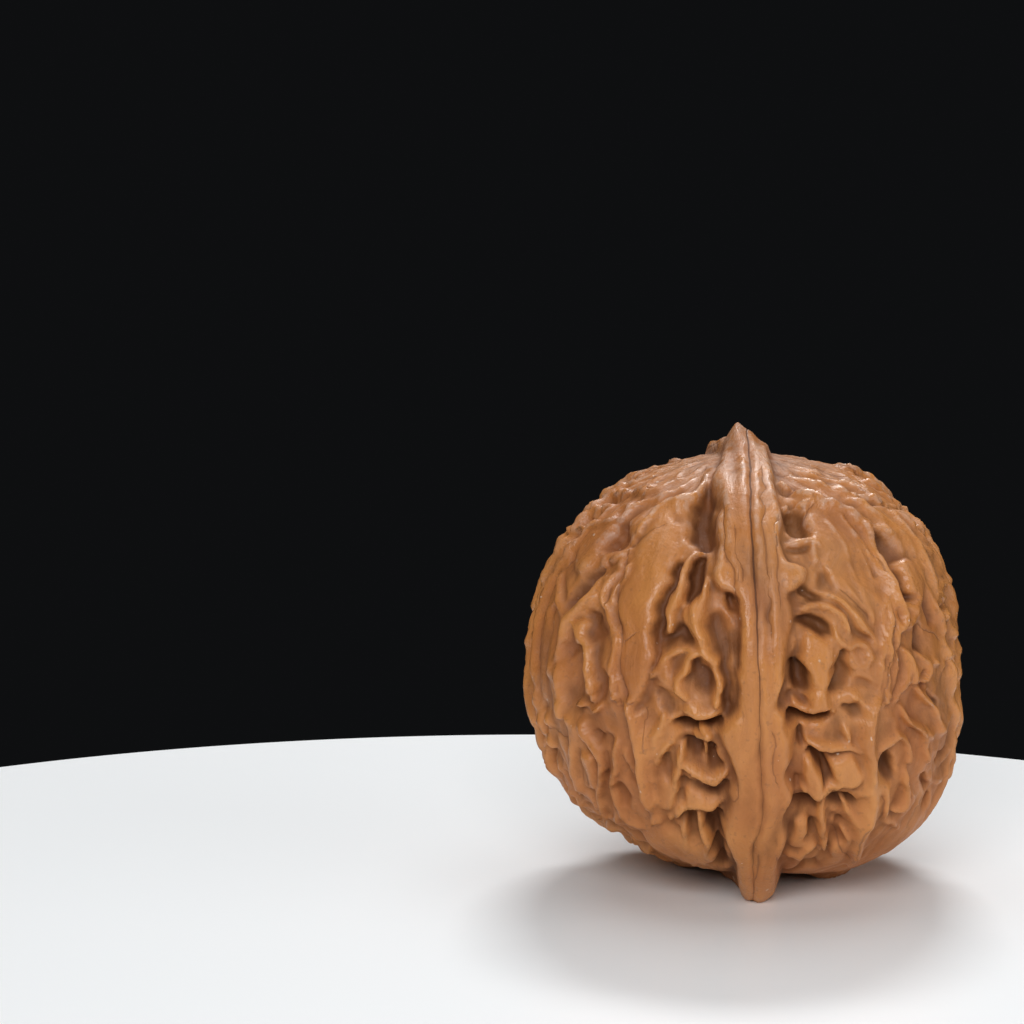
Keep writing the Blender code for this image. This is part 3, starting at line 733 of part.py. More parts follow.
def relief(points, strokes):
    """Height over the plain body at points on it."""
    moved = wandered(points)
    land = net_relief(points) * (1.0 - 0.3 * read_share(points))
    rib, on_rib, offset = rib_relief(points + drift(points, 2.0, 0.04, SEED + 7))
    raised = np.zeros(len(points))
    calm = on_rib.copy()
    kept = on_rib.copy()
    carved = np.zeros(len(points))
    from_tip = np.hypot(points[:, 0] - BEAK_X, points[:, 1])
    groove = SEAM_DEPTH * smooth_share(from_tip, 0.5, 4.0)
    creased = groove * np.clip(1.0 - np.abs(offset) / SEAM_HALF_WIDTH, 0.0, 1.0)
    for kind, height, path, widths in strokes:
        middle = (path.min(axis=0) + path.max(axis=0)) / 2
        span = STROKE_REACH[kind]
        reach = np.linalg.norm(path - middle, axis=1).max() + widths.max() * span
        near = np.flatnonzero(((moved - middle) ** 2).sum(axis=1) < reach ** 2)
        across = np.clip(path_distance(moved[near], path, widths), 0.0, span)
        if kind == "hollow":
            shape = smooth_share(-across, -span, -0.3)
            carved[near] = soft_max(carved[near], height * shape, 0.12)
        elif kind == "crease":
            creased[near] = np.maximum(creased[near], height * (1.0 - across))
        elif kind == "ridge":
            shape = ridge_profile(across)
            raised[near] = soft_max(raised[near], height * shape, 0.12)
            kept[near] = np.maximum(kept[near], 0.9 * smooth_share(shape, 0.3, 0.8))
        else:
            shape = (1.0 - (across / span) ** 4) ** 1.2
            raised[near] = soft_max(raised[near], height * shape, 0.2)
            calm[near] = np.maximum(calm[near], smooth_share(shape, 0.0, 0.7))
            kept[near] = np.maximum(kept[near], smooth_share(shape, 0.35, 0.95))
    land = land * (1.0 - 0.85 * calm)
    from_axis = np.hypot(points[:, 0], points[:, 1])
    raised = raised * (0.45 + 0.55 * smooth_share(from_axis, 3.0, 13.0))
    under = (1.0 - read_share(points)) * (1.0 - smooth_share(points[:, 2], 2.0, 11.0))
    raised = raised * (1.0 - 0.4 * under)
    carved = carved * (1.0 - 0.3 * under)
    open_land = land + raised * (1.0 - 0.85 * on_rib) + strand_relief(points) * (1.0 - on_rib)
    total = soft_max(open_land, rib + 0.3 * land, 0.15)
    return total - np.maximum(carved, 0.0) * (1.0 - kept) - creased


def beak_rise(plain):
    """The beak: a leaning pyramid over the seam on a low swelling, with a small lobe behind it."""
    right = plain[:, 0] - BEAK_X
    wide = np.where(right < 0.0, BEAK_LEFT, BEAK_RIGHT)
    reach = ((np.abs(right) / wide) ** 1.4 + (np.abs(plain[:, 1]) / BEAK_DEEP) ** 1.4 + 0.006) ** (1 / 1.4)
    pyramid = BEAK_HEIGHT * np.clip(1.0 - reach, 0.0, 1.0) ** 1.05
    lobe_x, lobe_y, lobe_height = BEAK_LOBE
    half_x, half_y = BEAK_LOBE_RADII
    from_lobe = ((plain[:, 0] - lobe_x) / half_x) ** 2 + ((plain[:, 1] - lobe_y) / half_y) ** 2
    lobe = lobe_height * np.exp(-(from_lobe ** 1.6))
    collar = COLLAR_HEIGHT * np.exp(-(right ** 2 + plain[:, 1] ** 2) / COLLAR_REACH ** 2)
    return (np.maximum(pyramid, lobe) + collar) * (plain[:, 2] > BODY_CENTRE_Z)


def placed_at(plain, height):
    """Where the body's points come to lie: raised, leaning, sagging, with beak and resting spots."""
    normals = body_normal(plain)
    right_shear = np.where(normals[:, 2] < 0.0, RIGHT_SHEAR_LOW, RIGHT_SHEAR_HIGH)
    shear = np.where(normals[:, 0] < 0.0, LEFT_SHEAR, right_shear)
    lean = normals[:, 0] * (LEAN + RIGHT_SWELL * np.abs(normals[:, 2]) - shear * normals[:, 2])
    placed = plain + normals * (height + lean)[:, None]
    placed += downhill(normals) * sag(plain) * height[:, None]
    placed[:, 2] += beak_rise(plain)
    for pad_x, pad_y, drop in RESTING_PADS:
        half_x, half_y = RESTING_PAD_RADII
        pad = np.exp(-(((plain[:, 0] - pad_x) / half_x) ** 2 + ((plain[:, 1] - pad_y) / half_y) ** 2))
        placed[:, 2] -= drop * pad * (plain[:, 2] < BODY_CENTRE_Z)
    placed[:, 2] = np.maximum(placed[:, 2], 0.0)
    return placed


def evened_relief(plain, strokes):
    """The relief averaged over a small round patch at each point, so that a coarse mesh shows it truly."""
    normals = body_normal(plain)
    side = np.cross(normals, np.array([0.31, 0.52, 0.79]))
    side /= np.linalg.norm(side, axis=1, keepdims=True)
    other = np.cross(normals, side)
    height = relief(plain, strokes)
    for ring in PATCH_RINGS:
        for turn in np.arange(PATCH_TURNS) * 2.0 * math.pi / PATCH_TURNS:
            height = height + relief(plain + ring * (math.cos(turn) * side + math.sin(turn) * other), strokes)
    return height / (1 + PATCH_TURNS * len(PATCH_RINGS))


def sphere_grid(cells):
    """A cube of cells by cells faces a side, with each point's direction spread evenly over the sphere."""
    grid = bmesh.new()
    bmesh.ops.create_cube(grid, size=2.0)
    bmesh.ops.subdivide_edges(grid, edges=grid.edges[:], cuts=cells - 1, use_grid_fill=True)
    mesh = bpy.data.meshes.new("walnut")
    grid.to_mesh(mesh)
    grid.free()
    flat = np.empty(len(mesh.vertices) * 3)
    mesh.vertices.foreach_get("co", flat)
    towards = np.tan(flat.reshape(-1, 3) * math.pi / 4)
    return mesh, towards / np.linalg.norm(towards, axis=1, keepdims=True)


def shell_material():
    """Brown polished nutshell."""
    shell = bpy.data.materials.new("shell")
    shell.use_nodes = True
    surface = shell.node_tree.nodes["Principled BSDF"]
    surface.inputs["Base Color"].default_value = (0.50, 0.20, 0.06, 1.0)
    surface.inputs["Roughness"].default_value = 0.42
    surface.inputs["Metallic"].default_value = 0.0
    return shell


def clear_scene():
    for old in list(bpy.data.objects):
        bpy.data.objects.remove(old, do_unlink=True)


def main():
    clear_scene()
    home = bpy.data.collections.new("wenwan_walnut")
    bpy.context.scene.collection.children.link(home)
    mesh, towards = sphere_grid(GRID)
    plain = onto_body(CENTRE + towards)
    points = placed_at(plain, evened_relief(plain, all_strokes()))
    middle = (points.min(axis=0) + points.max(axis=0)) / 2
    points[:, :2] -= middle[:2]
    mesh.vertices.foreach_set("co", (points * MM).ravel())
    mesh.shade_smooth()
    mesh.set_sharp_from_angle(angle=math.radians(75.0))
    mesh.update()
    nut = bpy.data.objects.new("walnut", mesh)
    nut.data.materials.append(shell_material())
    home.objects.link(nut)


main()
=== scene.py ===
"""Dresses the walnut: one fine shell in the solid's place, its finish, and a plain studio round it."""

import math

import bmesh
import bpy
import numpy as np
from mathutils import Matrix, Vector


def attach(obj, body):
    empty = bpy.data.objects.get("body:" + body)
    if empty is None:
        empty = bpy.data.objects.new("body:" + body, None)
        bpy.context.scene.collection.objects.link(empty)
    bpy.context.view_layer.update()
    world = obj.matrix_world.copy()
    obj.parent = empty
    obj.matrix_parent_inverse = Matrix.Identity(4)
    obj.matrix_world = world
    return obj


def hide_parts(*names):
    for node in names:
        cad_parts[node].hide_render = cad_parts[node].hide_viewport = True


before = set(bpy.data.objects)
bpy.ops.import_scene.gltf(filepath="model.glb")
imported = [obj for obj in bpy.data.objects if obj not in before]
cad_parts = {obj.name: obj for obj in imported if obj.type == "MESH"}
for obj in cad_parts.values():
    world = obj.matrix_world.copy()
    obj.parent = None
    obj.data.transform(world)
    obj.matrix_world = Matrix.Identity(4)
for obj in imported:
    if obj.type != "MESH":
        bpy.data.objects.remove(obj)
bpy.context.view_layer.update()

# Lengths are in millimetres and angles in degrees, unless a comment says otherwise
MM = 0.001
BODY_HALF_X = 19.4
BODY_HALF_Y = 19.7
BODY_HALF_Z = 19.2
BODY_SQUARENESS = 2.35
BODY_CENTRE_Z = 20.3

# How much the two sides bulge out beyond the plain body, all over, above the middle and below it
LEAN = -0.15
LEFT_SHEAR = 0.3
RIGHT_SHEAR_HIGH = 0.7
RIGHT_SHEAR_LOW = 1.35
RIGHT_SWELL = 1.1

# The beak, the lobe behind it (x, y, height) and the low swelling round both
BEAK_HEIGHT = 1.95
BEAK_X = -0.9
BEAK_LEFT = 1.6
BEAK_RIGHT = 2.7
BEAK_DEEP = 4.0
BEAK_ROUNDNESS = 0.006
BEAK_SQUARENESS = 1.4
BEAK_HOLLOWING = 1.05
BEAK_LOBE = (-1.8, 2.4, 0.55)
BEAK_LOBE_RADII = (0.8, 1.8)
BEAK_LOBE_FALL = 1.6
COLLAR_HEIGHT = 0.85
COLLAR_REACH = 6.5

# The rib round the seam. Turns round the seam are 0 at the beak, 90 in front, 180 below and 270 behind.
# The foot's lobes are (share, turn, width) and the drop at the beak (height, width). The seam's dark line
# is wider by the beak: (share that it loses, from turn, to turn).
RIB_HEIGHT = 1.7
RIB_EDGE_SHARE = 0.26
RIB_CAMBER = 0.25
RIB_RISE = 1.2
RIB_WANDER = (2.0, 0.04)
FOOT_HEIGHT = 3.2
FOOT_LOBES = ((1.0, 150.0, 13.0), (0.9, 211.0, 12.0))
RIB_DROP_AT_BEAK = (0.6, 16.0)
RIB_ROUND_BELOW = 42.0
RIB_ROUNDING = 0.6
SEAM_HALF_WIDTH = 0.3
SEAM_DEPTH = 0.35
SEAM_OPEN = (0.6, 55.0, 95.0)

# Behind, the seam follows a wave and the rib's edges follow more of them at some distance from it. A wave
# is (reach, waves in a whole turn, start). Near the beak an edge draws in by (reach, turn, width).
REAR_TURNS = (188.0, 358.0, 3.0)
REAR_WAVE = (0.45, 2.0, 40.0)
REAR_SEAM = (0.0, (), (0.0, 348.0, 14.0))
REAR_LEFT = (-3.0, ((-0.7, 9.0, 200.0), (-0.5, 17.0, 60.0)), (0.0, 348.0, 14.0))
REAR_RIGHT = (3.2, ((0.8, 8.0, 80.0), (0.5, 19.0, 0.0)), (1.6, 348.0, 14.0))

# How strokes lie: a ridge's flanks reach this many half widths out, and a raised point sags downhill
# by a share of its height
RIDGE_REACH = 3.4
RIDGE_FALL = 1.35
RIDGE_GAIN = 1.15
STROKE_REACH = {"ridge": RIDGE_REACH, "swelling": 1.2, "hollow": 1.6, "crease": 1.0}
HOLLOW_FLOOR = 0.3
SWELLING_SHAPE = (4.0, 1.2)
PATH_NARROWING = 0.55
CREASE_HALF_WIDTH = 0.32
CREASE_RISE = 0.6
SHADOW_DROP = 1.5
SHADOW_DEPTH = 0.6
SHADOW_WIDTH = 0.7
SAG = 0.42
SAG_CHANGE = 0.2

# How forms meet: the width of each blend, and how fully each form keeps the net and the hollows off
STROKE_BLEND = 0.12
SWELLING_BLEND = 0.2
RIB_BLEND = 0.15
RIDGE_KEPT = (0.3, 0.8)
RIDGE_KEEPS = 0.9
SWELLING_CALM = (0.0, 0.7)
SWELLING_KEPT = (0.35, 0.95)
CALMING = 0.85
READ_CALM = 0.3
NET_ON_RIB = 0.3

# Where relief grows to its full height, as distances from the upright axis and heights over the ground
NET_FADE = (2.0, 14.0)
STRAND_FADE = (3.0, 15.0)
RAISED_FADE = (3.0, 13.0)
RAISED_AT_AXIS = 0.45
SEAM_FADE = (0.5, 4.0)
UNDERSIDE_FADE = (2.0, 11.0)
UNDERSIDE_RAISED = 0.4
UNDERSIDE_CARVED = 0.3

# Where the underside is let down to rest beside the foot, as (x, y, drop)
RESTING_PADS = ((-5.8, 2.0, 1.6), (8.0, 0.0, 2.1))
RESTING_PAD_RADII = (2.8, 3.6)

# Random fields. A flowing one is (size, flow, size and reach of its wandering, two seeds), and the net's
# folds are (height, roundness, flowing field). The rib's strands and each wandering are (size, reach).
SEED = 11
WAVES = 28
FLOWING_WAVES = 40
WAVE_SIZES = (0.75, 1.4)
NET_FOLDS = (
    (0.34, 0.10, (5.2, 2.6, 6.0, 1.2, 21, 31)),
    (0.18, 0.12, (2.8, 3.0, 2.6, 0.3, 24, 32)),
    (0.10, 0.12, (1.8, 1.8, 1.8, 0.25, 28, 33)),
)
NET_SINK = 0.1
STRAND_HEIGHT = 0.055
STRANDS = (1.6, 6.0, 5.0, 0.25, 27, 34)
RIB_STRANDS = (1.7, 0.11)
RIB_STRAND_TURN = 3.4
WANDERING = ((3.4, 0.14), (1.5, 0.05))

# Sides and back: the turns round Z and the tilts above the middle that the grown ridges run between.
# Every other main ridge is shorter. Pairs are the least and the most of a random draw, but a crease is
# (degrees aside, depth).
GROWN_SPACING = 13.0
GROWN_TURNS = (64.0, 168.0)
GROWN_SHIFT = 2.0
GROWN_TOPS = ((56.0, 68.0), (44.0, 56.0))
GROWN_BOTTOMS = ((-74.0, -60.0), (-58.0, -46.0))
GROWN_STEP = 4.0
GROWN_SWING = (2.0, 4.2)
GROWN_PACE = (16.0, 26.0)
GROWN_LEAN = 0.07
GROWN_WIDTHS = (0.55, 0.8)
GROWN_HEIGHTS = (0.9, 1.3)
GROWN_CREASE = (3.0, 0.2)

# Links leave a main ridge for the next, most of them over a pit
LINK_STARTS = (2.0, 8.0)
LINK_GAPS = (6.0, 11.0)
LINK_REACH = (7.0, 14.0)
LINK_DROP = 9.0
LINK_BOW = 3.0
LINK_POINTS = 7
LINK_WIDTHS = (0.36, 0.6)
LINK_HEIGHTS = (0.5, 1.0)
PIT_SHARE = 0.85
PIT_DROPS = (3.5, 6.0)
PIT_LENGTHS = (0.15, 0.5)
PIT_WIDTHS = (0.5, 0.95)
PIT_DEPTHS = (0.8, 1.5)

# Wrinkles fan out from the beak over both shoulders, each with a crease beside it
WRINKLE_SPACING = 9.0
WRINKLE_TURNS = (24.0, 164.0)
WRINKLE_SHIFT = 2.5
WRINKLE_BOTTOMS = (46.0, 62.0)
WRINKLE_TOPS = (77.0, 83.0)
WRINKLE_STEP = 3.0
WRINKLE_SWING = 6.0
WRINKLE_HEIGHTS = (0.25, 0.5)
WRINKLE_WIDTHS = (0.32, 0.5)
WRINKLE_CREASE = (4.5, 0.15)

# The fine shell's grid, the rounds of evening out behind its shape and its finish, and the reach of the
# layers that its finish reads
GRID = 129
SETTLING_ROUNDS = 2
STEEP_PULL = 0.6
SOFTENING_ROUNDS = 1
EASING_ROUNDS = 3
BROAD_ROUNDS = 300
FINE_ROUNDS = 8
CREASE_FADE = 0.8
CREASE_SHOWS = (-0.42, -0.22)
SEAM_REACH = 6.0
FLOW_LENGTH = 4.5
FLOW_WANDER = (5.0, 0.5)

# The front is read as it shows from a little above and to the left, at this distance from the nut's centre.
# The body is looked for between two shares of that distance. Half widths on ground that slants away count
# as wider, up to a limit. Grown strokes keep out of the read front, which is (least facing, fade).
SIGHT_AZIMUTH = math.radians(-4.0)
SIGHT_ELEVATION = math.radians(12.0)
SIGHT_DISTANCE = 500.0
SIGHT_SHARES = np.linspace(0.93, 1.04, 240)
SLANT_LIMIT = 0.16
READ_FACING = (0.22, 0.2)
MOST_READ = 0.35

CENTRE = np.array([0.0, 0.0, BODY_CENTRE_Z])
HALVES = np.array([BODY_HALF_X, BODY_HALF_Y, BODY_HALF_Z])
TOWARDS_EYE = np.array([
    math.sin(SIGHT_AZIMUTH) * math.cos(SIGHT_ELEVATION),
    -math.cos(SIGHT_AZIMUTH) * math.cos(SIGHT_ELEVATION),
    math.sin(SIGHT_ELEVATION),
])
SIGHT_RIGHT = np.array([math.cos(SIGHT_AZIMUTH), math.sin(SIGHT_AZIMUTH), 0.0])
SIGHT_UP = np.cross(TOWARDS_EYE, SIGHT_RIGHT)

# The seam and the rib's two edges on the front, from beak to foot, as (right, up) from the nut's centre.
# All such points, here and in the tables that follow, are in tenths of a millimetre.
SEAM_LINE = (
    (-3, 210), (1, 196), (3.5, 180), (3.5, 140), (6.5, 100), (9.5, 60), (11.5, 20), (13.5, -20),
    (14.5, -60), (16, -100), (18.5, -130), (15, -150), (8.5, -170), (10, -205), (7, -218),
)
RIB_LEFT_EDGE = (
    (-25, 204), (-29, 192), (-39, 176), (-33, 163), (-30, 150), (-34, 133), (-30, 115), (-34, 102),
    (-38, 86), (-32, 76), (-12, 66), (-8.5, 56), (-7, 30), (-9, -5), (-9, -38), (-22, -51), (-29, -60),
    (-27, -73), (-20, -86), (-15, -98), (-12, -109), (-18, -124), (-18, -138), (-23, -150), (-23, -163),
    (-16, -176), (-10, -185), (-8, -198), (-6, -215),
)
RIB_RIGHT_EDGE = (
    (21, 204), (29, 182), (32, 165), (37, 150), (40, 140), (37, 124), (39, 110), (46, 99), (63, 95),
    (67, 86), (59, 75), (46, 70), (49, 58), (50, 45), (46, 25), (44, 6), (41, -13), (36, -26), (34, -38),
    (42, -46), (47, -58), (51, -66), (51, -86), (44, -100), (46, -110), (53, -123), (47, -134), (41, -145),
    (46, -158), (46, -170), (38, -182), (36, -190), (36, -205),
)

# Raised forms of the front. Each is half width, height, and the points that it runs through.
FRONT_RIDGES = (
    (0.6, 0.9, (-34, 186), (-41, 173), (-48, 161), (-64, 155), (-82, 150), (-96, 141), (-106, 126)),
    (0.45, 0.5, (-46, 160), (-60, 149), (-83, 142), (-99, 139), (-108, 126), (-112, 114)),
    (0.24, 0.32, (-30, 197), (-55, 192), (-82, 185), (-100, 178)),
    (0.26, 0.35, (-34, 192), (-55, 187), (-76, 180), (-96, 176)),
    (0.26, 0.38, (-36, 188), (-54, 179), (-72, 171), (-88, 166), (-102, 161)),
    (0.28, 0.45, (-38, 184), (-52, 173), (-66, 166), (-86, 159), (-104, 151), (-112, 142)),
    (0.5, 1.15, (-46, 106), (-54, 102), (-59, 90), (-62, 74), (-69, 56), (-76, 44), (-77, 33)),
    (0.35, 0.6, (-56, 80), (-60, 62), (-56, 48), (-50, 34), (-45, 26)),
    (0.26, 0.75, (-112, 96), (-122, 76), (-129, 56), (-127, 30), (-125, 0), (-124, -25), (-120, -45)),
    (0.24, 0.5, (-116, 86), (-124, 64), (-123, 45), (-121, 20), (-119, -5), (-118, -30), (-113, -50),
     (-109, -68)),
    (0.4, 1.05, (-122, 93), (-132, 84), (-139, 68), (-139, 57), (-134, 44), (-131, 26), (-129, 6),
     (-127, -18), (-127, -36)),
    (0.55, 1.3, (-115, -42), (-112, -56), (-108, -70), (-104, -90), (-100, -110), (-97, -130), (-92, -146),
     (-89, -160)),
    (0.45, 0.8, (-99, -62), (-97, -80), (-92, -100), (-88, -125), (-83, -146), (-80, -158)),
    (0.5, 0.6, (-177, 84), (-179, 60), (-175, 44)),
    (0.5, 0.85, (-140, 80), (-146, 66), (-157, 57), (-169, 45), (-173, 30), (-180, 12), (-185, -6),
     (-182, -22), (-179, -40), (-177, -54)),
    (0.42, 0.7, (-169, 46), (-162, 32), (-154, 18), (-150, 4), (-147, -14), (-148, -30), (-153, -42)),
    (0.45, 0.8, (-162, -44), (-152, -49), (-144, -48), (-139, -43)),
    (0.45, 0.7, (-172, -56), (-167, -74), (-166, -94), (-164, -112), (-156, -128)),
    (0.5, 0.8, (-162, -64), (-150, -80), (-143, -96), (-141, -114), (-143, -132), (-140, -146),
     (-136, -156)),
    (0.4, 0.7, (-124, -78), (-125, -96), (-127, -116), (-126, -132), (-120, -148), (-117, -158)),
    (0.4, 0.6, (-116, -84), (-112, -98), (-107, -110)),
    (0.5, 1.25, (-37, 80), (-43, 67), (-48, 52), (-47, 38), (-42, 24), (-40, 10), (-34, 0), (-27, -14),
     (-25, -32), (-28, -46)),
    (0.55, 1.0, (-41, 10), (-52, 7), (-58, -4), (-62, -16), (-63, -28), (-59, -38)),
    (0.6, 0.65, (-56, -42), (-48, -48), (-38, -50), (-29, -47)),
    (0.42, 0.8, (-89, -16), (-85, -4), (-76, 4), (-64, 8), (-52, 11)),
    (0.35, 0.5, (-86, -22), (-74, -20), (-68, -22)),
    (0.45, 0.6, (-74, -52), (-82, -68), (-88, -84), (-90, -96)),
    (0.4, 0.6, (-62, -66), (-74, -78), (-84, -92), (-86, -108)),
    (0.45, 0.7, (-60, -84), (-60, -96), (-63, -110), (-70, -126), (-77, -138)),
    (0.5, 0.6, (-46, -66), (-36, -69), (-32, -76)),
    (0.3, 0.6, (-38, -82), (-39, -94)),
    (0.45, 0.8, (-43, -148), (-41, -162), (-36, -176), (-36, -188)),
    (0.4, 0.6, (-57, -160), (-53, -172), (-62, -184)),
    (0.55, 1.15, (32, 176), (42, 168), (56, 165), (68, 162), (79, 153), (92, 148), (105, 143), (114, 137),
     (121, 126), (128, 110), (133, 96), (139, 80), (146, 66), (154, 54), (156, 44), (149, 32)),
    (0.32, 0.6, (32, 171), (44, 166), (57, 159)),
    (0.4, 0.7, (39, 149), (52, 152), (65, 155), (79, 150), (89, 140), (99, 130), (108, 120), (118, 108),
     (124, 94), (132, 76), (137, 58)),
    (0.5, 0.6, (62, 114), (67, 104), (65, 98)),
    (0.24, 0.32, (24, 200), (50, 193), (80, 188), (105, 176), (126, 162)),
    (0.26, 0.36, (26, 195), (46, 188), (74, 185), (94, 177), (115, 165)),
    (0.28, 0.4, (29, 188), (46, 182), (64, 180), (82, 178), (98, 170), (116, 162), (128, 154)),
    (0.4, 0.5, (166, 116), (174, 107), (181, 102)),
    (0.4, 0.7, (53, 52), (63, 54), (75, 52), (87, 47), (96, 38), (104, 29)),
    (0.42, 1.0, (76, 65), (88, 60), (98, 50), (108, 40), (118, 30), (126, 21), (127, 12)),
    (0.34, 0.55, (84, 86), (94, 74), (104, 62), (114, 50), (120, 40)),
    (0.42, 0.5, (69, 142), (83, 126), (93, 106), (101, 88), (110, 68), (119, 48), (123, 32)),
    (0.36, 0.45, (84, 142), (98, 124), (109, 106), (118, 86), (124, 68), (129, 48)),
    (0.45, 0.45, (72, 106), (76, 92), (84, 80), (92, 68), (102, 54)),
    (0.42, 0.65, (40, 179), (60, 173), (80, 169), (98, 162), (114, 152), (128, 140), (136, 128)),
    (0.3, 0.55, (52, 186), (76, 180), (98, 172), (116, 162), (129, 152), (146, 149)),
    (0.26, 0.4, (96, 72), (108, 58), (118, 46), (124, 34)),
    (0.26, 0.4, (114, 80), (122, 62), (128, 44), (129, 26)),
    (0.42, 0.6, (84, 34), (86, 22), (96, 18)),
    (0.42, 0.7, (99, 8), (104, 17), (114, 18), (120, 9), (118, -2), (108, -6), (99, -2)),
    (0.3, 0.9, (130, 86), (135, 64), (138, 40), (137, 20), (140, -4), (139, -24), (135, -42)),
    (0.28, 0.8, (140, 64), (143, 36), (147, 14), (148, -6), (144, -24), (138, -38)),
    (0.26, 0.75, (131, 54), (133, 30), (130, 6), (131, -16), (130, -36)),
    (0.3, 0.6, (150, 16), (156, 2), (154, -14), (149, -26), (142, -40)),
    (0.45, 0.7, (149, 60), (158, 58), (165, 51), (160, 43), (155, 36)),
    (0.45, 0.45, (156, 98), (164, 86), (168, 72), (167, 60), (163, 54)),
    (0.5, 0.7, (176, 80), (183, 64), (188, 46), (193, 28)),
    (0.42, 0.6, (180, -4), (190, 3), (202, 4)),
    (0.45, 0.8, (154, 14), (162, 4), (163, -8), (160, -18)),
    (0.42, 0.75, (170, 12), (178, 2), (178, -8), (172, -18)),
    (0.45, 0.8, (166, -24), (176, -36), (184, -50), (189, -60), (180, -69), (172, -66)),
    (0.42, 0.8, (150, -42), (158, -54), (168, -66), (174, -78), (172, -92)),
    (0.35, 0.6, (142, -66), (150, -72), (156, -82), (154, -94)),
    (0.42, 0.7, (83, -48), (90, -58), (96, -68), (98, -78)),
    (0.45, 0.9, (73, -135), (74, -152), (76, -168), (76, -180)),
    (0.7, 1.3, (130, -38), (123, -52), (122, -70), (125, -90), (124, -110), (123, -130), (119, -146),
     (113, -162), (106, -178), (98, -190)),
    (0.4, 0.6, (104, -32), (114, -40), (124, -50)),
    (0.42, 0.7, (153, -102), (151, -114), (152, -126), (148, -135), (140, -136)),
    (0.3, 0.5, (156, -122), (160, -132)),
    (0.35, 0.5, (132, -116), (129, -134), (136, -148), (144, -156)),
    (0.45, 0.6, (92, -158), (100, -170), (102, -180)),
    (0.4, 0.5, (174, -94), (173, -112), (166, -132), (156, -150)),
)

# Lips of the front stand out over a carved shadow just below them
FRONT_LIPS = (
    (0.42, 0.7, (-138, 158), (-122, 166), (-110, 166), (-96, 171)),
    (0.48, 0.9, (-166, 126), (-154, 130), (-138, 138), (-126, 139), (-118, 147), (-106, 153)),
    (0.42, 0.75, (-137, 97), (-124, 102), (-112, 109)),
    (0.4, 0.5, (-129, 90), (-118, 95), (-110, 103)),
    (0.42, 0.6, (-160, -129), (-149, -131), (-146, -141)),
    (0.42, 0.55, (-136, -153), (-120, -156), (-106, -158), (-96, -162)),
    (0.5, 1.0, (-58, -50), (-49, -52), (-38, -54), (-26, -50)),
    (0.45, 0.6, (-52, -70), (-42, -74), (-32, -77)),
    (0.5, 0.9, (-56, -102), (-48, -111), (-36, -116), (-26, -115), (-18, -107)),
    (0.5, 0.9, (-73, -154), (-60, -141), (-48, -140), (-40, -139), (-34, -142), (-23, -138)),
    (0.4, 0.5, (-70, -166), (-60, -160)),
    (0.42, 0.65, (39, 114), (50, 117), (64, 118), (70, 112)),
    (0.4, 0.45, (103, 160), (116, 159), (128, 154)),
    (0.4, 0.45, (132, 149), (142, 146), (152, 136)),
    (0.45, 0.5, (123, 131), (136, 128), (150, 123)),
    (0.48, 0.85, (84, -42), (76, -47), (66, -45), (56, -44), (47, -40)),
    (0.42, 0.75, (62, -78), (72, -81), (80, -85), (88, -81), (100, -82), (112, -86)),
    (0.48, 0.85, (56, -121), (64, -126), (72, -129), (80, -125), (88, -121), (96, -119)),
    (0.4, 0.6, (94, -134), (103, -146), (110, -147)),
    (0.45, 0.7, (127, -81), (135, -76), (143, -70)),
    (0.48, 0.8, (41, -184), (50, -182), (57, -176), (66, -174), (75, -180)),
    (0.42, 0.6, (80, -20), (74, -24), (66, -24), (60, -29)),
)

# Smooth swellings of the front. Each is height and its (right, up, half width) points.
FRONT_SWELLINGS = (
    (0.55, (-80, 142, 10), (-82, 128, 16), (-87, 112, 19), (-92, 92, 21), (-99, 68, 20), (-104, 42, 16),
     (-104, 24, 14), (-103, 6, 14), (-104, -12, 13), (-105, -26, 10), (-106, -35, 7)),
    (0.3, (66, 134, 10), (80, 124, 17), (94, 108, 18), (104, 90, 15), (110, 70, 11), (118, 52, 9)),
    (0.35, (84, 96, 12), (86, 82, 12), (94, 70, 9)),
    (0.8, (64, 18, 10), (69, 4, 15), (71, -10, 13)),
    (0.8, (72, -30, 9), (72, -39, 9)),
    (0.6, (-78, -6, 7), (-74, -13, 7)),
    (0.7, (62, -98, 6), (65, -110, 8), (69, -120, 9)),
    (0.7, (96, -98, 11), (100, -110, 14)),
    (0.5, (-76, -116, 9), (-78, -134, 10)),
    (0.25, (-50, -128, 7), (-32, -132, 6)),
    (0.5, (-70, -178, 13), (-50, -184, 13)),
    (0.5, (90, -170, 7), (84, -190, 15), (64, -192, 11)),
    (0.6, (54, -154, 7), (52, -168, 8)),
    (0.45, (-182, 100, 8), (-176, 84, 7)),
    (0.5, (-142, 126, 10), (-154, 110, 12), (-158, 96, 9)),
    (0.4, (134, 139, 9), (154, 120, 10)),
    (0.35, (156, 92, 9), (160, 74, 7)),
    (0.45, (-160, 32, 8), (-159, 22, 6)),
    (0.4, (-186, 60, 8), (-192, 20, 8), (-192, -20, 8)),
    (0.45, (-152, -96, 7), (-150, -120, 7)),
    (0.2, (188, -80, 9), (178, -110, 11), (168, -134, 10)),
    (0.75, (156, -158, 10), (140, -174, 13), (122, -188, 13), (108, -196, 10)),
)

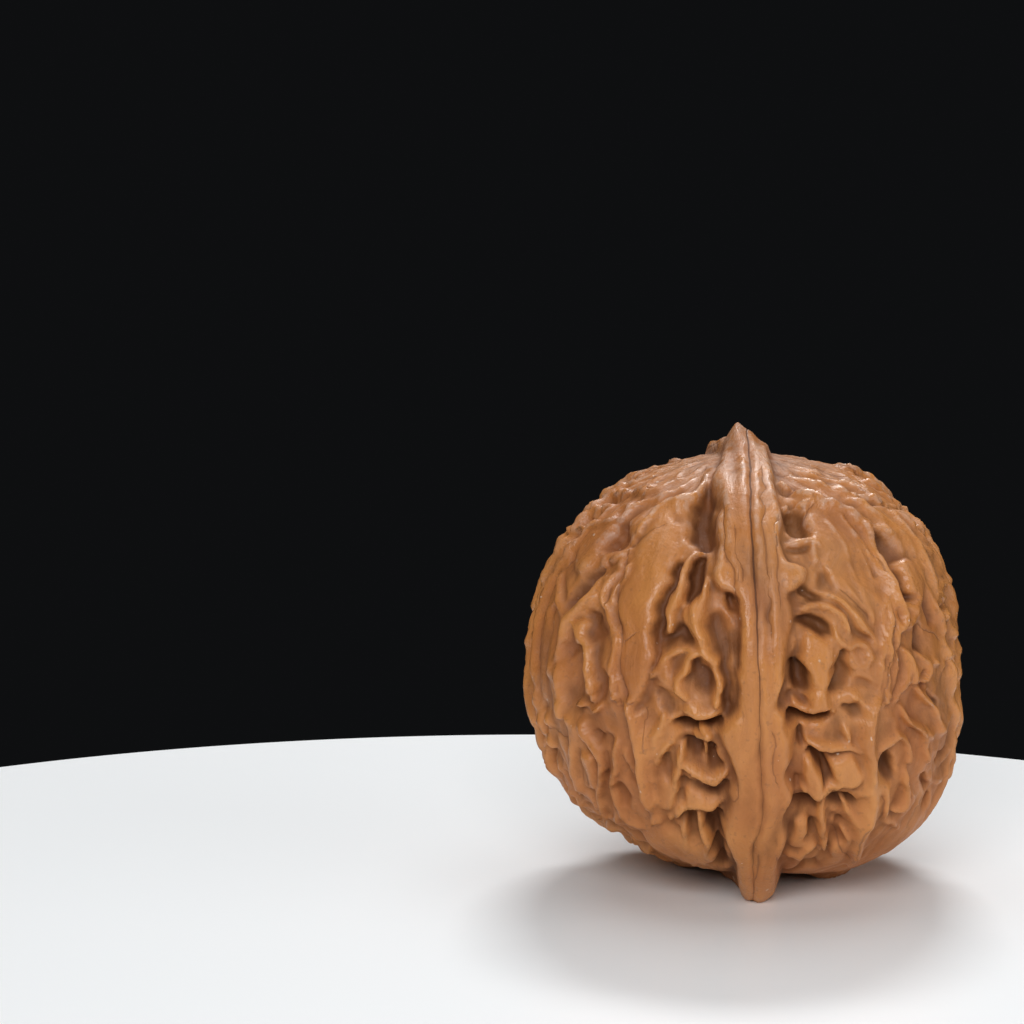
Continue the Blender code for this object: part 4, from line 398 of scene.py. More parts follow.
# Hollows of the front. Each is depth and its (right, up, half width) points.
FRONT_HOLLOWS = (
    (0.55, (86, 54, 4), (96, 44, 4.5), (106, 33, 4.5), (114, 24, 4)),
    (0.45, (74, 98, 5), (79, 84, 6), (80, 72, 5)),
    (0.45, (104, 129, 3), (114, 117, 4), (122, 102, 4), (129, 84, 3.5)),
    (0.75, (-48, -70, 20), (-52, -100, 25), (-46, -130, 23), (-46, -164, 20)),
    (0.65, (74, -64, 22), (80, -100, 24), (78, -140, 24), (76, -164, 16)),
    (0.5, (154, -40, 14), (152, -80, 14), (146, -120, 13)),
    (0.5, (-140, -60, 15), (-134, -90, 15), (-128, -126, 14)),
    (0.8, (-156, 24, 16), (-154, -10, 17), (-156, -36, 13)),
    (1.45, (-39, 160, 6), (-42, 140, 10), (-43, 122, 12), (-40, 110, 8)),
    (1.4, (-43, 96, 5), (-46, 86, 7.5), (-49, 72, 7.5), (-52, 62, 5)),
    (1.05, (-62, 96, 3), (-68, 78, 4), (-75, 60, 4.5), (-81, 44, 5), (-84, 28, 5), (-84, 12, 3.5),
     (-85, 0, 3.5)),
    (0.85, (-78, 22, 7), (-68, 24, 7), (-61, 34, 7), (-54, 22, 6)),
    (1.3, (-128, -170, 9), (-108, -182, 13), (-90, -183, 14), (-80, -187, 7)),
    (0.6, (-86, 4, 4), (-86, -14, 4.5), (-89, -30, 4), (-96, -42, 3.5), (-106, -47, 3), (-116, -38, 2.5),
     (-119, -15, 2.5)),
    (1.25, (-122, 130, 7), (-127, 118, 12), (-120, 115, 9)),
    (0.5, (-136, 148, 9), (-126, 152, 7)),
    (1.3, (-143, 84, 5), (-151, 75, 8), (-159, 63, 7), (-164, 54, 5)),
    (0.5, (-172, 76, 5), (-170, 58, 5)),
    (1.0, (-148, 44, 5), (-143, 36, 7.5), (-140, 26, 7.5)),
    (0.7, (-139, 16, 7), (-138, -6, 7), (-137, -24, 8), (-138, -36, 5)),
    (0.9, (-165, 8, 7), (-156, 9, 5)),
    (0.6, (-158, -4, 4), (-155, -16, 5), (-162, -24, 10), (-162, -36, 7)),
    (0.7, (-156, -54, 4), (-150, -55, 4)),
    (0.95, (-142, -72, 6), (-134, -71, 5), (-127, -73, 3.5)),
    (0.9, (-134, -88, 4), (-132, -102, 5), (-131, -113, 3)),
    (0.95, (-117, -119, 5), (-114, -126, 6), (-114, -135, 4)),
    (0.8, (-153, -137, 4), (-149, -142, 3)),
    (0.9, (-106, -166, 5), (-99, -169, 6)),
    (0.5, (-112, -94, 2.5), (-108, -106, 3), (-104, -116, 3)),
    (1.1, (-14, 63, 3.5), (-14, 54, 4.5)),
    (0.65, (-28, 42, 7), (-24, 28, 9.5), (-20, 12, 8), (-17, -6, 6), (-17, -24, 5), (-16, -40, 5),
     (-17, -50, 3.5)),
    (0.95, (-46, -2, 7), (-41, -11, 11), (-39, -22, 9)),
    (0.6, (-76, -29, 7), (-70, -38, 8), (-66, -46, 5)),
    (0.7, (-82, -29, 2.5), (-81, -30, 2.5)),
    (2.2, (-62, -60, 5), (-52, -60, 6), (-42, -60, 6), (-30, -58, 5), (-24, -54, 3)),
    (0.85, (-74, -92, 7), (-70, -102, 7)),
    (1.7, (-56, -79, 5), (-49, -81, 7), (-44, -87, 6)),
    (0.9, (-53, -94, 5), (-49, -100, 5)),
    (1.9, (-29, -83, 5), (-30, -92, 7), (-25, -99, 6)),
    (1.0, (-60, -108, 3), (-58, -116, 4), (-61, -124, 3)),
    (1.4, (-18, -112, 3), (-24, -120, 4), (-36, -124, 5), (-49, -121, 4.5), (-57, -113, 3.5)),
    (1.7, (-58, -148, 5), (-50, -148, 6), (-49, -158, 6)),
    (1.6, (-23, -143, 4), (-30, -149, 6), (-29, -160, 6)),
    (2.0, (-25, -170, 6), (-27, -181, 8), (-22, -190, 6)),
    (1.5, (35, 164, 4), (41, 160, 5.5), (50, 157, 3.5)),
    (1.8, (44, 145, 6), (46, 136, 10), (47, 128, 10), (58, 127, 7)),
    (0.5, (48, 109, 5), (56, 109, 4)),
    (0.45, (76, 112, 3.5), (76, 102, 4)),
    (1.5, (125, 122, 6), (131, 112, 9), (137, 100, 11), (144, 86, 10), (150, 72, 7), (154, 64, 3)),
    (0.45, (64, 172, 8), (84, 166, 10), (102, 156, 10), (119, 146, 9)),
    (0.4, (148, 114, 4), (152, 106, 5)),
    (1.0, (50, 73, 3), (59, 69, 5), (66, 63, 4)),
    (0.5, (72, 82, 5), (70, 72, 4)),
    (0.5, (54, 56, 3), (63, 58, 2.5)),
    (1.4, (51, 41, 3.5), (59, 38, 5.5), (69, 34, 5), (77, 33, 3.5)),
    (0.6, (54, 16, 6), (53, 4, 5)),
    (1.9, (47, -1, 4.5), (50, -12, 6.5), (52, -22, 5)),
    (0.6, (44, -32, 7), (56, -32, 4)),
    (1.7, (92, 9, 4.5), (92, -4, 5), (93, -15, 7), (88, -22, 6)),
    (0.6, (104, -18, 6), (114, -19, 5)),
    (0.45, (109, 7, 4.5), (111, 4, 4)),
    (3.0, (46, -50, 6), (56, -51, 7), (66, -52, 5.5), (78, -52, 3.5)),
    (0.85, (96, -42, 4), (102, -44, 5)),
    (0.5, (70, -62, 6), (76, -68, 5), (82, -72, 3)),
    (1.7, (53, -66, 3.5), (54, -74, 4.5)),
    (2.2, (65, -88, 6), (73, -93, 6.5), (78, -102, 6), (80, -112, 6), (81, -120, 5)),
    (0.8, (88, -89, 4), (94, -89, 3)),
    (0.9, (47, -102, 2), (50, -111, 2.5)),
    (2.6, (53, -129, 5), (61, -132, 7), (69, -135, 5)),
    (1.9, (84, -131, 5), (92, -130, 6), (99, -127, 4)),
    (1.2, (62, -149, 3), (64, -157, 3.5)),
    (1.1, (84, -142, 4.5), (90, -149, 5)),
    (0.6, (84, -162, 3), (88, -170, 3)),
    (1.8, (130, -87, 5.5), (133, -96, 7), (136, -104, 5)),
    (0.9, (161, -104, 3.5), (164, -114, 3.5)),
    (0.9, (152, -139, 3), (154, -138, 3)),
    (0.7, (126, -169, 3), (134, -166, 4), (143, -163, 3)),
    (0.9, (85, -175, 3), (83, -181, 3.5)),
    (0.7, (171, 54, 3), (175, 44, 3.5)),
    (0.9, (161, 32, 5), (165, 23, 6)),
    (0.8, (167, -8, 3), (167, -16, 3)),
    (0.8, (171, -27, 2), (179, -39, 2.5), (187, -53, 2.5)),
    (0.7, (151, -48, 2.5), (159, -60, 3), (164, -70, 2.5)),
    (0.6, (176, -84, 3), (184, -78, 3)),
)

# Thin creases of the front. Each is depth and the points that it runs through.
FRONT_CREASES = (
    (0.3, (-21, 146), (-23, 120), (-21, 96), (-16, 83), (-10, 70), (-5, 56)),
    (0.2, (-12, 120), (-10, 100), (-6, 80)),
    (0.25, (15, 174), (17, 140), (16, 116), (19, 86), (22, 56), (23, 30)),
    (0.2, (30, 134), (31, 106), (29, 84), (34, 56)),
    (0.15, (26, -58), (30, -76), (28, -94), (31, -108)),
    (0.2, (29, -158), (31, -172), (30, -186), (24, -204)),
    (0.2, (12, -168), (13, -184), (11, -194)),
    (0.15, (-7, -108), (-6, -118), (-10, -126)),
    (0.12, (-120, 19), (-114, 22), (-105, 28)),
    (0.12, (-106, 116), (-94, 125), (-80, 131)),
    (0.3, (-112, 112), (-116, 92), (-122, 74), (-122, 50), (-121, 30), (-118, 10), (-117, -10), (-115, -28),
     (-111, -38), (-105, -41), (-100, -36)),
    (0.2, (-130, 70), (-132, 50), (-131, 20), (-129, -10)),
    (0.25, (65, 150), (60, 144), (56, 139), (52, 136)),
    (0.25, (95, 136), (104, 124), (116, 112), (124, 98), (130, 86)),
    (0.15, (168, 39), (178, 32), (188, 23)),
    (0.2, (83, -160), (89, -170), (96, -178)),
    (0.25, (112, -148), (108, -160), (102, -172), (99, -180)),
    (0.25, (126, -126), (128, -134), (128, -142)),
    (0.2, (154, 69), (162, 59)),
    (0.2, (135, 92), (142, 74), (148, 62)),
    (0.2, (136, 54), (139, 30), (137, 10), (136, -14), (133, -34)),
    (0.2, (145, 18), (148, -6), (145, -26)),
    (0.15, (92, 68), (104, 56), (116, 42)),
    (0.15, (-94, -48), (-96, -66), (-94, -82)),
    (0.15, (-106, -90), (-102, -108), (-98, -128), (-93, -148)),
    (0.15, (-160, -86), (-156, -104), (-152, -122)),
    (0.15, (-186, -66), (-176, -74), (-166, -78)),
    (0.15, (-90, 154), (-76, 158), (-60, 162), (-48, 170), (-41, 179)),
    (0.15, (-96, 160), (-78, 165), (-62, 170), (-48, 178), (-39, 185)),
    (0.15, (-96, 169), (-76, 174), (-58, 182), (-40, 189)),
    (0.15, (-98, 177), (-78, 183), (-56, 189), (-36, 194)),
    (0.15, (32, 180), (48, 176), (64, 175), (84, 173), (104, 164)),
    (0.15, (30, 189), (46, 185), (68, 182), (88, 177), (106, 168)),
    (0.15, (28, 196), (50, 190), (76, 186), (98, 178), (118, 166)),
)

# The finish. Tones run from the deep hollows to the crests: the darkest end is painted shade in the
# hollows, and the rest is partly the shell's own greyer brown in its valleys and orange on its crests.
TONES_AND_HOLLOW_SHADE = (
    (0.0, (0.13, 0.040, 0.009, 1)),
    (0.25, (0.25, 0.092, 0.027, 1)),
    (0.45, (0.38, 0.146, 0.043, 1)),
    (0.70, (0.50, 0.193, 0.054, 1)),
    (1.0, (0.58, 0.237, 0.068, 1)),
)

# Stains laid over the tones, each with its strength, in this order; two of them are painted light: a pale
# painted highlight and a painted shade along the creases
STAINS = {
    "ruddy": (0.5, (0.38, 0.125, 0.036, 1)),
    "golden": (0.25, (0.56, 0.26, 0.095, 1)),
    "vein": (0.07, (0.20, 0.075, 0.028, 1)),
    # A painted highlight: pale sheen on the upper crests and the beak, where the top lamps would glint
    "bloom": (0.30, (0.72, 0.62, 0.56, 1)),
    "dust": (0.5, (0.72, 0.62, 0.52, 1)),
    "pores": (0.25, (0.17, 0.07, 0.035, 1)),
    # Painted shade: a dark line along each thin crease
    "hairline": (0.5, (0.18, 0.065, 0.026, 1)),
    "seam": (0.8, (0.075, 0.024, 0.010, 1)),
}

# Noises of the finish, as scale per metre, detail and roughness
NOISES = {
    "wander": (260.0, 3.0, 0.5),
    "streak": (650.0, 4.0, 0.6),
    "mottle": (240.0, 5.0, 0.6),
    "ruddy": (110.0, 4.0, 0.5),
    "golden": (150.0, 3.0, 0.5),
    "vein": (360.0, 4.0, 0.6),
    # Breaks the painted highlight on the crests into patches
    "bloom": (1100.0, 4.0, 0.6),
    "dust": (1500.0, 1.0, 0.3),
    "pores": (1900.0, 1.0, 0.5),
    "gloss": (700.0, 3.0, 0.5),
    "grain": (1500.0, 3.0, 0.6),
    "furrows": (1200.0, 4.0, 0.6),
    "crumple": (620.0, 5.0, 0.65),
}

# Ranges between which each effect comes in, most of them as (from, to) or (from, to, at from, at to).
# Heights over the ground are in metres here.
RANGES = {
    # Level range of the tones, from painted shade in the deep hollows to the crests
    "tones and hollow shade": (-1.6, 1.2),
    "ruddy": (0.42, 0.66),
    "golden": (0.50, 0.72),
    "vein": (0.0, 0.035, 1.0, 0.0),
    "dust": (0.785, 0.81),
    "pores": (0.62, 0.74),
    # Where the painted highlight shows: on fine crests, high up, all over the beak, and in patches
    "painted sheen on crests": (0.0, 0.10),
    "painted sheen by height": (0.028, 0.040),
    "painted sheen on beak": (0.0365, 0.0425, 0.0, 0.7),
    "bloom": (0.36, 0.62),
    # How far from the middle of a crease its painted shade line reaches
    "hairline": (0.04, 0.20, 1.0, 0.0),
    "seam": (0.05, 0.14, 1.0, 0.0),
    "seam by height": (0.010, 0.034, 0.5, 1.0),
    "roughness": (0.7, -0.7, 0.24, 0.62),
    "rougher below": (0.006, 0.026, 0.2, 0.0),
    "furrows by height": (0.003, 0.014, 0.1, 0.7),
}

# How far noises swing the tones and the roughness, what else moves the tones, how far lines wander, and
# how much each pattern stands out or cuts in
NOISE_MIDDLE = 0.5
SWINGS = {"mottle": 1.5, "streak": 1.3, "gloss": 0.18}
# Fine crests lightened and fine hollows darkened in the tones: painted light and shade
DETAIL_SHADING = 2.2
RIB_TONE = -0.4
# The shaded crease is painted shade along the thin creases, also cut in as a bump
LINE_WANDER = {"hairline": 0.10, "seam": 0.06}
BUMPS = {"crumple": 1.6, "grain": 0.35, "hairline": -0.5, "seam": -0.8, "vein": -0.08}
SPECULAR = 0.4
BUMP_STRENGTH = 0.5
BUMP_DISTANCE = 0.00025

# The studio, in metres and watts. Each lamp is its name, place, size and power.
LAMPS = (
    ("top", (0.0, 0.10, 0.55), (0.6, 0.5), 1.42),
    ("front_high", (-0.10, -0.55, 0.34), (0.40, 0.30), 2.72),
    ("front_right", (0.55, -0.28, 0.18), (0.5, 0.5), 1.1),
    ("behind", (0.05, 0.42, 0.50), (0.18, 0.09), 1.9),
)
LAMP_AIM = (0.0, 0.0, 0.02)
WORLD_COLOUR = (0.0045, 0.0048, 0.0053, 1)
FLOOR_RADIUS = 0.11
FLOOR_THICKNESS = 0.004
FLOOR_SIDES = 360
FLOOR_PLACE = (-0.0200, -0.0503, -0.002)
FLOOR_COLOUR = (0.93, 0.95, 0.965, 1)
FLOOR_ROUGHNESS = 0.4

# The camera aims this far to the left of the nut's centre and above it
VIEW_LEFT = 21.9
VIEW_UP = 14.1
VIEW_LENS = 186.3
VIEW_SENSOR = 36.0
VIEW_CLIP = 0.01


def waves(points, size, seed, count=WAVES):
    """A smooth random field of unit strength with features of the given size."""
    draw = np.random.default_rng(seed)
    towards = draw.normal(size=(count, 3))
    towards /= np.linalg.norm(towards, axis=1, keepdims=True)
    vectors = towards * (2.0 * math.pi / (size * draw.uniform(*WAVE_SIZES, (count, 1))))
    phases = draw.uniform(0.0, 2.0 * math.pi, count)
    return np.sin(points @ vectors.T + phases).sum(axis=1) * math.sqrt(2.0 / count)


def drift(points, size, reach, seed):
    """A random shift of each point, of the given reach, that changes over the given size."""
    return np.stack([waves(points, size, seed + k) for k in range(3)], axis=1) * reach


def wandered(points):
    """The points shifted a little at random, so that strokes drawn at them wander like grown ones."""
    (broad, reach), (fine, fine_reach) = WANDERING
    return points + drift(points, broad, reach, SEED + 1) + drift(points, fine, fine_reach, SEED + 4)


def bell(values, middle, width):
    """1 at the middle, falling evenly to both sides."""
    return np.exp(-(((values - middle) / width) ** 2))


def smooth_share(values, low, high):
    """0 below low and 1 above high, with an even change between them."""
    share = np.clip((values - low) / (high - low), 0.0, 1.0)
    return share ** 2 * (3.0 - 2.0 * share)


def soft_max(a, b, blend):
    """The greater of two heights, with a fillet where they meet."""
    mix = np.clip(0.5 + 0.5 * (a - b) / blend, 0.0, 1.0)
    return b + (a - b) * mix + blend * mix * (1.0 - mix)


def from_axis(points):
    """Each point's distance from the upright axis."""
    return np.hypot(points[:, 0], points[:, 1])


def body_share(points):
    """0 at the nut's centre, 1 on the plain body."""
    return (np.abs((points - CENTRE) / HALVES) ** BODY_SQUARENESS).sum(axis=-1)


def onto_body(points):
    """Each point moved along its line to the nut's centre until it lies on the plain body."""
    return CENTRE + (points - CENTRE) / body_share(points)[..., None] ** (1.0 / BODY_SQUARENESS)


def body_normal(points):
    """The way straight out of the plain body."""
    arms = (points - CENTRE) / HALVES
    slope = np.sign(arms) * np.abs(arms) ** (BODY_SQUARENESS - 1.0) / HALVES
    return slope / np.linalg.norm(slope, axis=-1, keepdims=True)


def downhill(normals):
    """The way down along the body, longest where the body stands upright."""
    return np.array([0.0, 0.0, -1.0]) + normals * normals[:, 2:3]


def sag(plain):
    """How far a raised point slides downhill for each millimetre of its height."""
    return SAG - SAG_CHANGE * np.clip((plain[:, 2:3] - BODY_CENTRE_Z) / BODY_HALF_Z, -1.0, 1.0)


def thrown(spots, rise):
    """Where the lines of sight through (right, up) spots meet the front of the body, swollen by rise."""
    eye = CENTRE + SIGHT_DISTANCE * TOWARDS_EYE
    aims = CENTRE + spots[:, :1] * SIGHT_RIGHT + spots[:, 1:2] * SIGHT_UP - eye
    along = eye + SIGHT_SHARES[None, :, None] * aims[:, None, :]
    swelling = 1.0 + rise / HALVES.mean()
    level = body_share(CENTRE + (along - CENTRE) / swelling) - 1.0
    inside = level < 0.0
    first = np.where(inside.any(axis=1), inside.argmax(axis=1), level.argmin(axis=1))
    return onto_body(along[np.arange(len(spots)), first])


def smooth_path(tenths, steps=3):
    """Spots in tenths of a millimetre, joined by a curve with rounded corners through all of them."""
    spots = np.array(tenths) / 10
    if len(spots) < 3:
        return spots
    padded = np.vstack([2 * spots[0] - spots[1], spots, 2 * spots[-1] - spots[-2]])
    found = []
    for before, start, end, after in zip(padded, padded[1:], padded[2:], padded[3:]):
        for step in range(steps):
            t = step / steps
            bend = (2 * start + (end - before) * t + (2 * before - 5 * start + 4 * end - after) * t ** 2
                    + (3 * start - before - 3 * end + after) * t ** 3)
            found.append(bend / 2)
    found.append(spots[-1])
    return np.array(found)


def near_path(points, path, margin):
    """The numbers of the points that may lie within the margin of the path."""
    middle = (path.min(axis=0) + path.max(axis=0)) / 2
    reach = np.linalg.norm(path - middle, axis=1).max() + margin
    return np.flatnonzero(((points - middle) ** 2).sum(axis=1) < reach ** 2)


def from_run(points, start, end):
    """For each point, its share of the way along a straight run, and its arm from there."""
    run = end - start
    share = np.clip((points - start) @ run / (run @ run + 1e-9), 0.0, 1.0)
    return share, points - start - share[:, None] * run


def path_distance(points, path, widths):
    """For each point, its distance to the path over the path's half width there: 1 at the path's edge."""
    nearest = np.full(len(points), np.inf)
    for start, end, wide, wide_end in zip(path, path[1:], widths, widths[1:]):
        share, arm = from_run(points, start, end)
        nearest = np.minimum(nearest, np.linalg.norm(arm, axis=1) / (wide + share * (wide_end - wide)))
    return nearest


def pointed(width, count):
    """Half widths along a path that narrow towards both of its ends."""
    return width * (1.0 - PATH_NARROWING * np.abs(np.linspace(-1.0, 1.0, count)) ** 3)


def true_widths(path, widths):
    """Half widths as they measure on the body, from half widths that were read off the picture plane."""
    run = np.gradient(path, axis=0)
    run /= np.linalg.norm(run, axis=1, keepdims=True) + 1e-9
    across = np.cross(body_normal(path), run)
    return widths / np.sqrt(np.clip(1.0 - (across @ TOWARDS_EYE) ** 2, SLANT_LIMIT, 1.0))


def eased(path):
    """A path on the body with the jumps evened out that lines of sight make near the outline."""
    for _ in range(EASING_ROUNDS):
        inner = (path[:-2] + 2 * path[1:-1] + path[2:]) / 4
        path = onto_body(np.vstack([path[:1], inner, path[-1:]]))
    return path


def read_stroke(kind, height, curve, widths, rise):
    """A stroke of the front, laid where its raised and sagged form shows on the curve."""
    path = thrown(curve, rise)
    path = eased(onto_body(path - rise * sag(path) * downhill(body_normal(path))))
    return kind, height, path, true_widths(path, widths)


def crease(depth, path):
    """A thin crease along a path on the body."""
    return "crease", depth, path, np.full(len(path), CREASE_HALF_WIDTH)


def front_strokes():
    """The front's forms as (kind, height, path on the body, half widths)."""
    for width, height, *spots in FRONT_RIDGES:
        curve = smooth_path(spots)
        yield read_stroke("ridge", RIDGE_GAIN * height, curve, pointed(width, len(curve)), height)
    for width, height, *spots in FRONT_LIPS:
        curve = smooth_path(spots)
        widths = pointed(width, len(curve))
        yield read_stroke("ridge", height, curve, widths, height)
        shadow = curve - np.array([0.0, SHADOW_DROP * width])
        yield read_stroke("hollow", SHADOW_DEPTH * height, shadow, SHADOW_WIDTH * widths, 0.0)
    for kind, rows, rising in (("swelling", FRONT_SWELLINGS, 1.0), ("hollow", FRONT_HOLLOWS, 0.0)):
        for height, *spots in rows:
            curve = smooth_path(spots)
            yield read_stroke(kind, height, curve, curve[:, 2], rising * height)
    for depth, *spots in FRONT_CREASES:
        curve = smooth_path(spots)
        yield read_stroke("crease", depth, curve, np.full(len(curve), CREASE_HALF_WIDTH), CREASE_RISE)


def spot_at(turn, tilt):
    """The body's point at a turn round Z from the front and a tilt above the middle."""
    turn = np.radians(turn)
    tilt = np.radians(tilt)
    towards = np.stack([np.sin(turn) * np.cos(tilt), -np.cos(turn) * np.cos(tilt), np.sin(tilt)], axis=-1)
    return onto_body(CENTRE + towards)


def read_share(points):
    """1 where the front was read stroke by stroke, falling to 0 round the sides."""
    least, fade = READ_FACING
    return np.clip((body_normal(points) @ TOWARDS_EYE - least) / fade, 0.0, 1.0)


def grown_strokes(draw):
    """Main ridges of the sides, the back and the underside, grown by rule, with what stands beside them."""
    places = np.arange(*GROWN_TURNS, GROWN_SPACING)
    middles = [turn + draw.uniform(-GROWN_SHIFT, GROWN_SHIFT) for turn in (*-places, *places)]
    for number, middle in enumerate(middles):
        top = draw.uniform(*GROWN_TOPS[number % 2])
        tilts = np.arange(draw.uniform(*GROWN_BOTTOMS[number % 2]), top, GROWN_STEP)
        swing = draw.uniform(*GROWN_SWING)
        pace = draw.uniform(*GROWN_PACE)
        lean = draw.uniform(-GROWN_LEAN, GROWN_LEAN)
        wobble = swing * np.sin(tilts / pace * 2.0 + draw.uniform(0.0, 6.0)) + lean * tilts
        widths = pointed(draw.uniform(*GROWN_WIDTHS), len(tilts))
        widths = widths * (1.0 + 0.3 * np.sin(tilts / 6.0 + number))
        yield "ridge", draw.uniform(*GROWN_HEIGHTS), spot_at(middle + wobble, tilts), widths
        aside, depth = GROWN_CREASE
        yield crease(depth, spot_at(middle + wobble + draw.choice((-aside, aside)), tilts)[3:-3])
        yield from links_beside(draw, middle, wobble, tilts)


def links_beside(draw, middle, wobble, tilts):
    """Short slanting ridges that leave a main ridge for the next, most of them over a pit."""
    shares = np.linspace(0.0, 1.0, LINK_POINTS)
    tilt = tilts[0] + draw.uniform(*LINK_STARTS)
    while tilt < tilts[-1] - LINK_GAPS[0]:
        start = middle + np.interp(tilt, tilts, wobble)
        reach = draw.uniform(*LINK_REACH) * draw.choice((-1.0, 1.0))
        drop = draw.uniform(-LINK_DROP, LINK_DROP)
        bow = draw.uniform(-LINK_BOW, LINK_BOW) * np.sin(math.pi * shares)
        path = spot_at(start + reach * shares, tilt + drop * shares + bow)
        widths = pointed(draw.uniform(*LINK_WIDTHS), LINK_POINTS)
        yield "ridge", draw.uniform(*LINK_HEIGHTS), path, widths
        if draw.uniform() < PIT_SHARE:
            below = draw.uniform(*PIT_DROPS)
            turns = start + reach * (0.5 + draw.uniform(*PIT_LENGTHS) * (shares - 0.5))
            pit = spot_at(turns, tilt + 0.5 * drop + bow - below)
            widths = pointed(draw.uniform(*PIT_WIDTHS), LINK_POINTS)
            yield "hollow", draw.uniform(*PIT_DEPTHS), pit, widths
        tilt += draw.uniform(*LINK_GAPS)


def beak_wrinkles(draw):
    """Fine ridges that fan out from the beak over both shoulders, with a crease beside each."""
    places = np.arange(*WRINKLE_TURNS, WRINKLE_SPACING)
    for side, turn in ((side, turn) for side in (-1.0, 1.0) for turn in places):
        tilts = np.arange(draw.uniform(*WRINKLE_BOTTOMS), draw.uniform(*WRINKLE_TOPS), WRINKLE_STEP)
        turns = side * (turn + draw.uniform(-WRINKLE_SHIFT, WRINKLE_SHIFT))
        swing = draw.uniform(-WRINKLE_SWING, WRINKLE_SWING)
        turns = turns + swing * np.sin(np.radians((tilts - 45.0) * 4.0))
        height = draw.uniform(*WRINKLE_HEIGHTS)
        yield "ridge", height, spot_at(turns, tilts), pointed(draw.uniform(*WRINKLE_WIDTHS), len(tilts))
        aside, depth = WRINKLE_CREASE
        yield crease(depth, spot_at(turns + aside, tilts))


def all_strokes():
    """The front's read forms, and the grown ones wherever the front wasn't read."""
    draw = np.random.default_rng(SEED)
    growth = [*grown_strokes(draw), *beak_wrinkles(draw)]
    return [*front_strokes(), *(one for one in growth if read_share(one[2]).mean() < MOST_READ)]


def seam_turn(points):
    """How far round the seam a point lies: 0 at the beak, 90 in front, 180 below, 270 behind."""
    arms = points - CENTRE
    return np.degrees(np.arctan2(-arms[:, 1], arms[:, 2])) % 360.0


def wave(turn, reach, pace, start):
    """A wave that runs round the seam."""
    return reach * np.sin(np.radians(turn * pace + start))


def round_seam(line, behind, at_turns):
    """The x of a line drawn beside the seam, read on the front and given by a rule behind."""
    path = thrown(smooth_path(line), RIB_RISE)
    turns = seam_turn(path)
    order = np.argsort(turns)
    rear = np.arange(*REAR_TURNS)
    aside, lobes, (draws_in, middle, width) = behind
    across = wave(rear, *REAR_WAVE) + aside + sum(wave(rear, *lobe) for lobe in lobes)
    across -= draws_in * bell(rear, middle, width)
    known = np.concatenate([turns[order], rear])
    return np.interp(at_turns, known, np.concatenate([path[order, 0], across]), period=360.0)


def rib_relief(points):
    """The rib's height at each point, how fully each point is on the rib, and its x from the seam."""
    turn = seam_turn(points)
    seam = round_seam(SEAM_LINE, REAR_SEAM, turn)
    left = round_seam(RIB_LEFT_EDGE, REAR_LEFT, turn)
    right = round_seam(RIB_RIGHT_EDGE, REAR_RIGHT, turn)
    offset = points[:, 0] - seam
    across = np.abs(offset / (np.where(offset < 0.0, left, right) - seam))
    foot = sum(share * bell(turn, middle, width) for share, middle, width in FOOT_LOBES)
    below = np.exp(-(((turn - 180.0) / RIB_ROUND_BELOW) ** 4))
    drop, width = RIB_DROP_AT_BEAK
    height = RIB_HEIGHT + (FOOT_HEIGHT - RIB_HEIGHT) * foot
    height -= drop * bell((turn + 180.0) % 360.0, 180.0, width)
    inside = np.clip(across, 0.0, 1.0)
    on_rib = smooth_share(1.0 - across, 0.0, RIB_EDGE_SHARE)
    flat = (1.0 - RIB_CAMBER * inside ** 2) * on_rib
    rounded = (1.0 - inside ** 2) ** RIB_ROUNDING
    along = np.radians(turn)
    place = np.stack([offset, RIB_STRAND_TURN * np.cos(along), RIB_STRAND_TURN * np.sin(along)], axis=1)
    size, reach = RIB_STRANDS
    strands = reach * waves(place, size, SEED + 41) * on_rib
    return height * (flat + below * (rounded - flat)) + strands, on_rib, offset


def flow_place(points, flow):
    """Coordinates in which lines from beak to foot run straight, shortened flow times along them."""
    arms = (points - CENTRE) / HALVES.mean()
    turn = np.arctan2(arms[:, 1], arms[:, 0])
    tilt = np.arctan2(arms[:, 2], from_axis(arms))
    return np.stack([np.cos(turn), np.sin(turn), tilt / flow], axis=1) * HALVES.mean()


def flowing_waves(points, size, flow, wander_size, wander, wander_seed, seed):
    """A random field that runs mostly from beak to foot."""
    moved = flow_place(points + drift(points, wander_size, wander, SEED + wander_seed), flow)
    return waves(moved, size, SEED + seed, FLOWING_WAVES)


def net_relief(points):
    """Folds between the main ridges: crests that run mostly from beak to foot, with hollow flanks."""
    net = np.zeros(len(points))
    for height, roundness, field in NET_FOLDS:
        net += height * (1.0 - np.sqrt(flowing_waves(points, *field) ** 2 + roundness))
    return net * smooth_share(from_axis(points), *NET_FADE) - NET_SINK


def strand_relief(points):
    """Low fine strands that run from beak to foot over everything, closer together towards both ends."""
    return STRAND_HEIGHT * flowing_waves(points, *STRANDS) * smooth_share(from_axis(points), *STRAND_FADE)


def ridge_profile(across):
    """A narrow round crest on long hollow flanks, over distances in half widths."""
    tail = (1.0 + RIDGE_REACH ** 2) ** -RIDGE_FALL
    return np.clip(((1.0 + across ** 2) ** -RIDGE_FALL - tail) / (1.0 - tail), 0.0, 1.0)


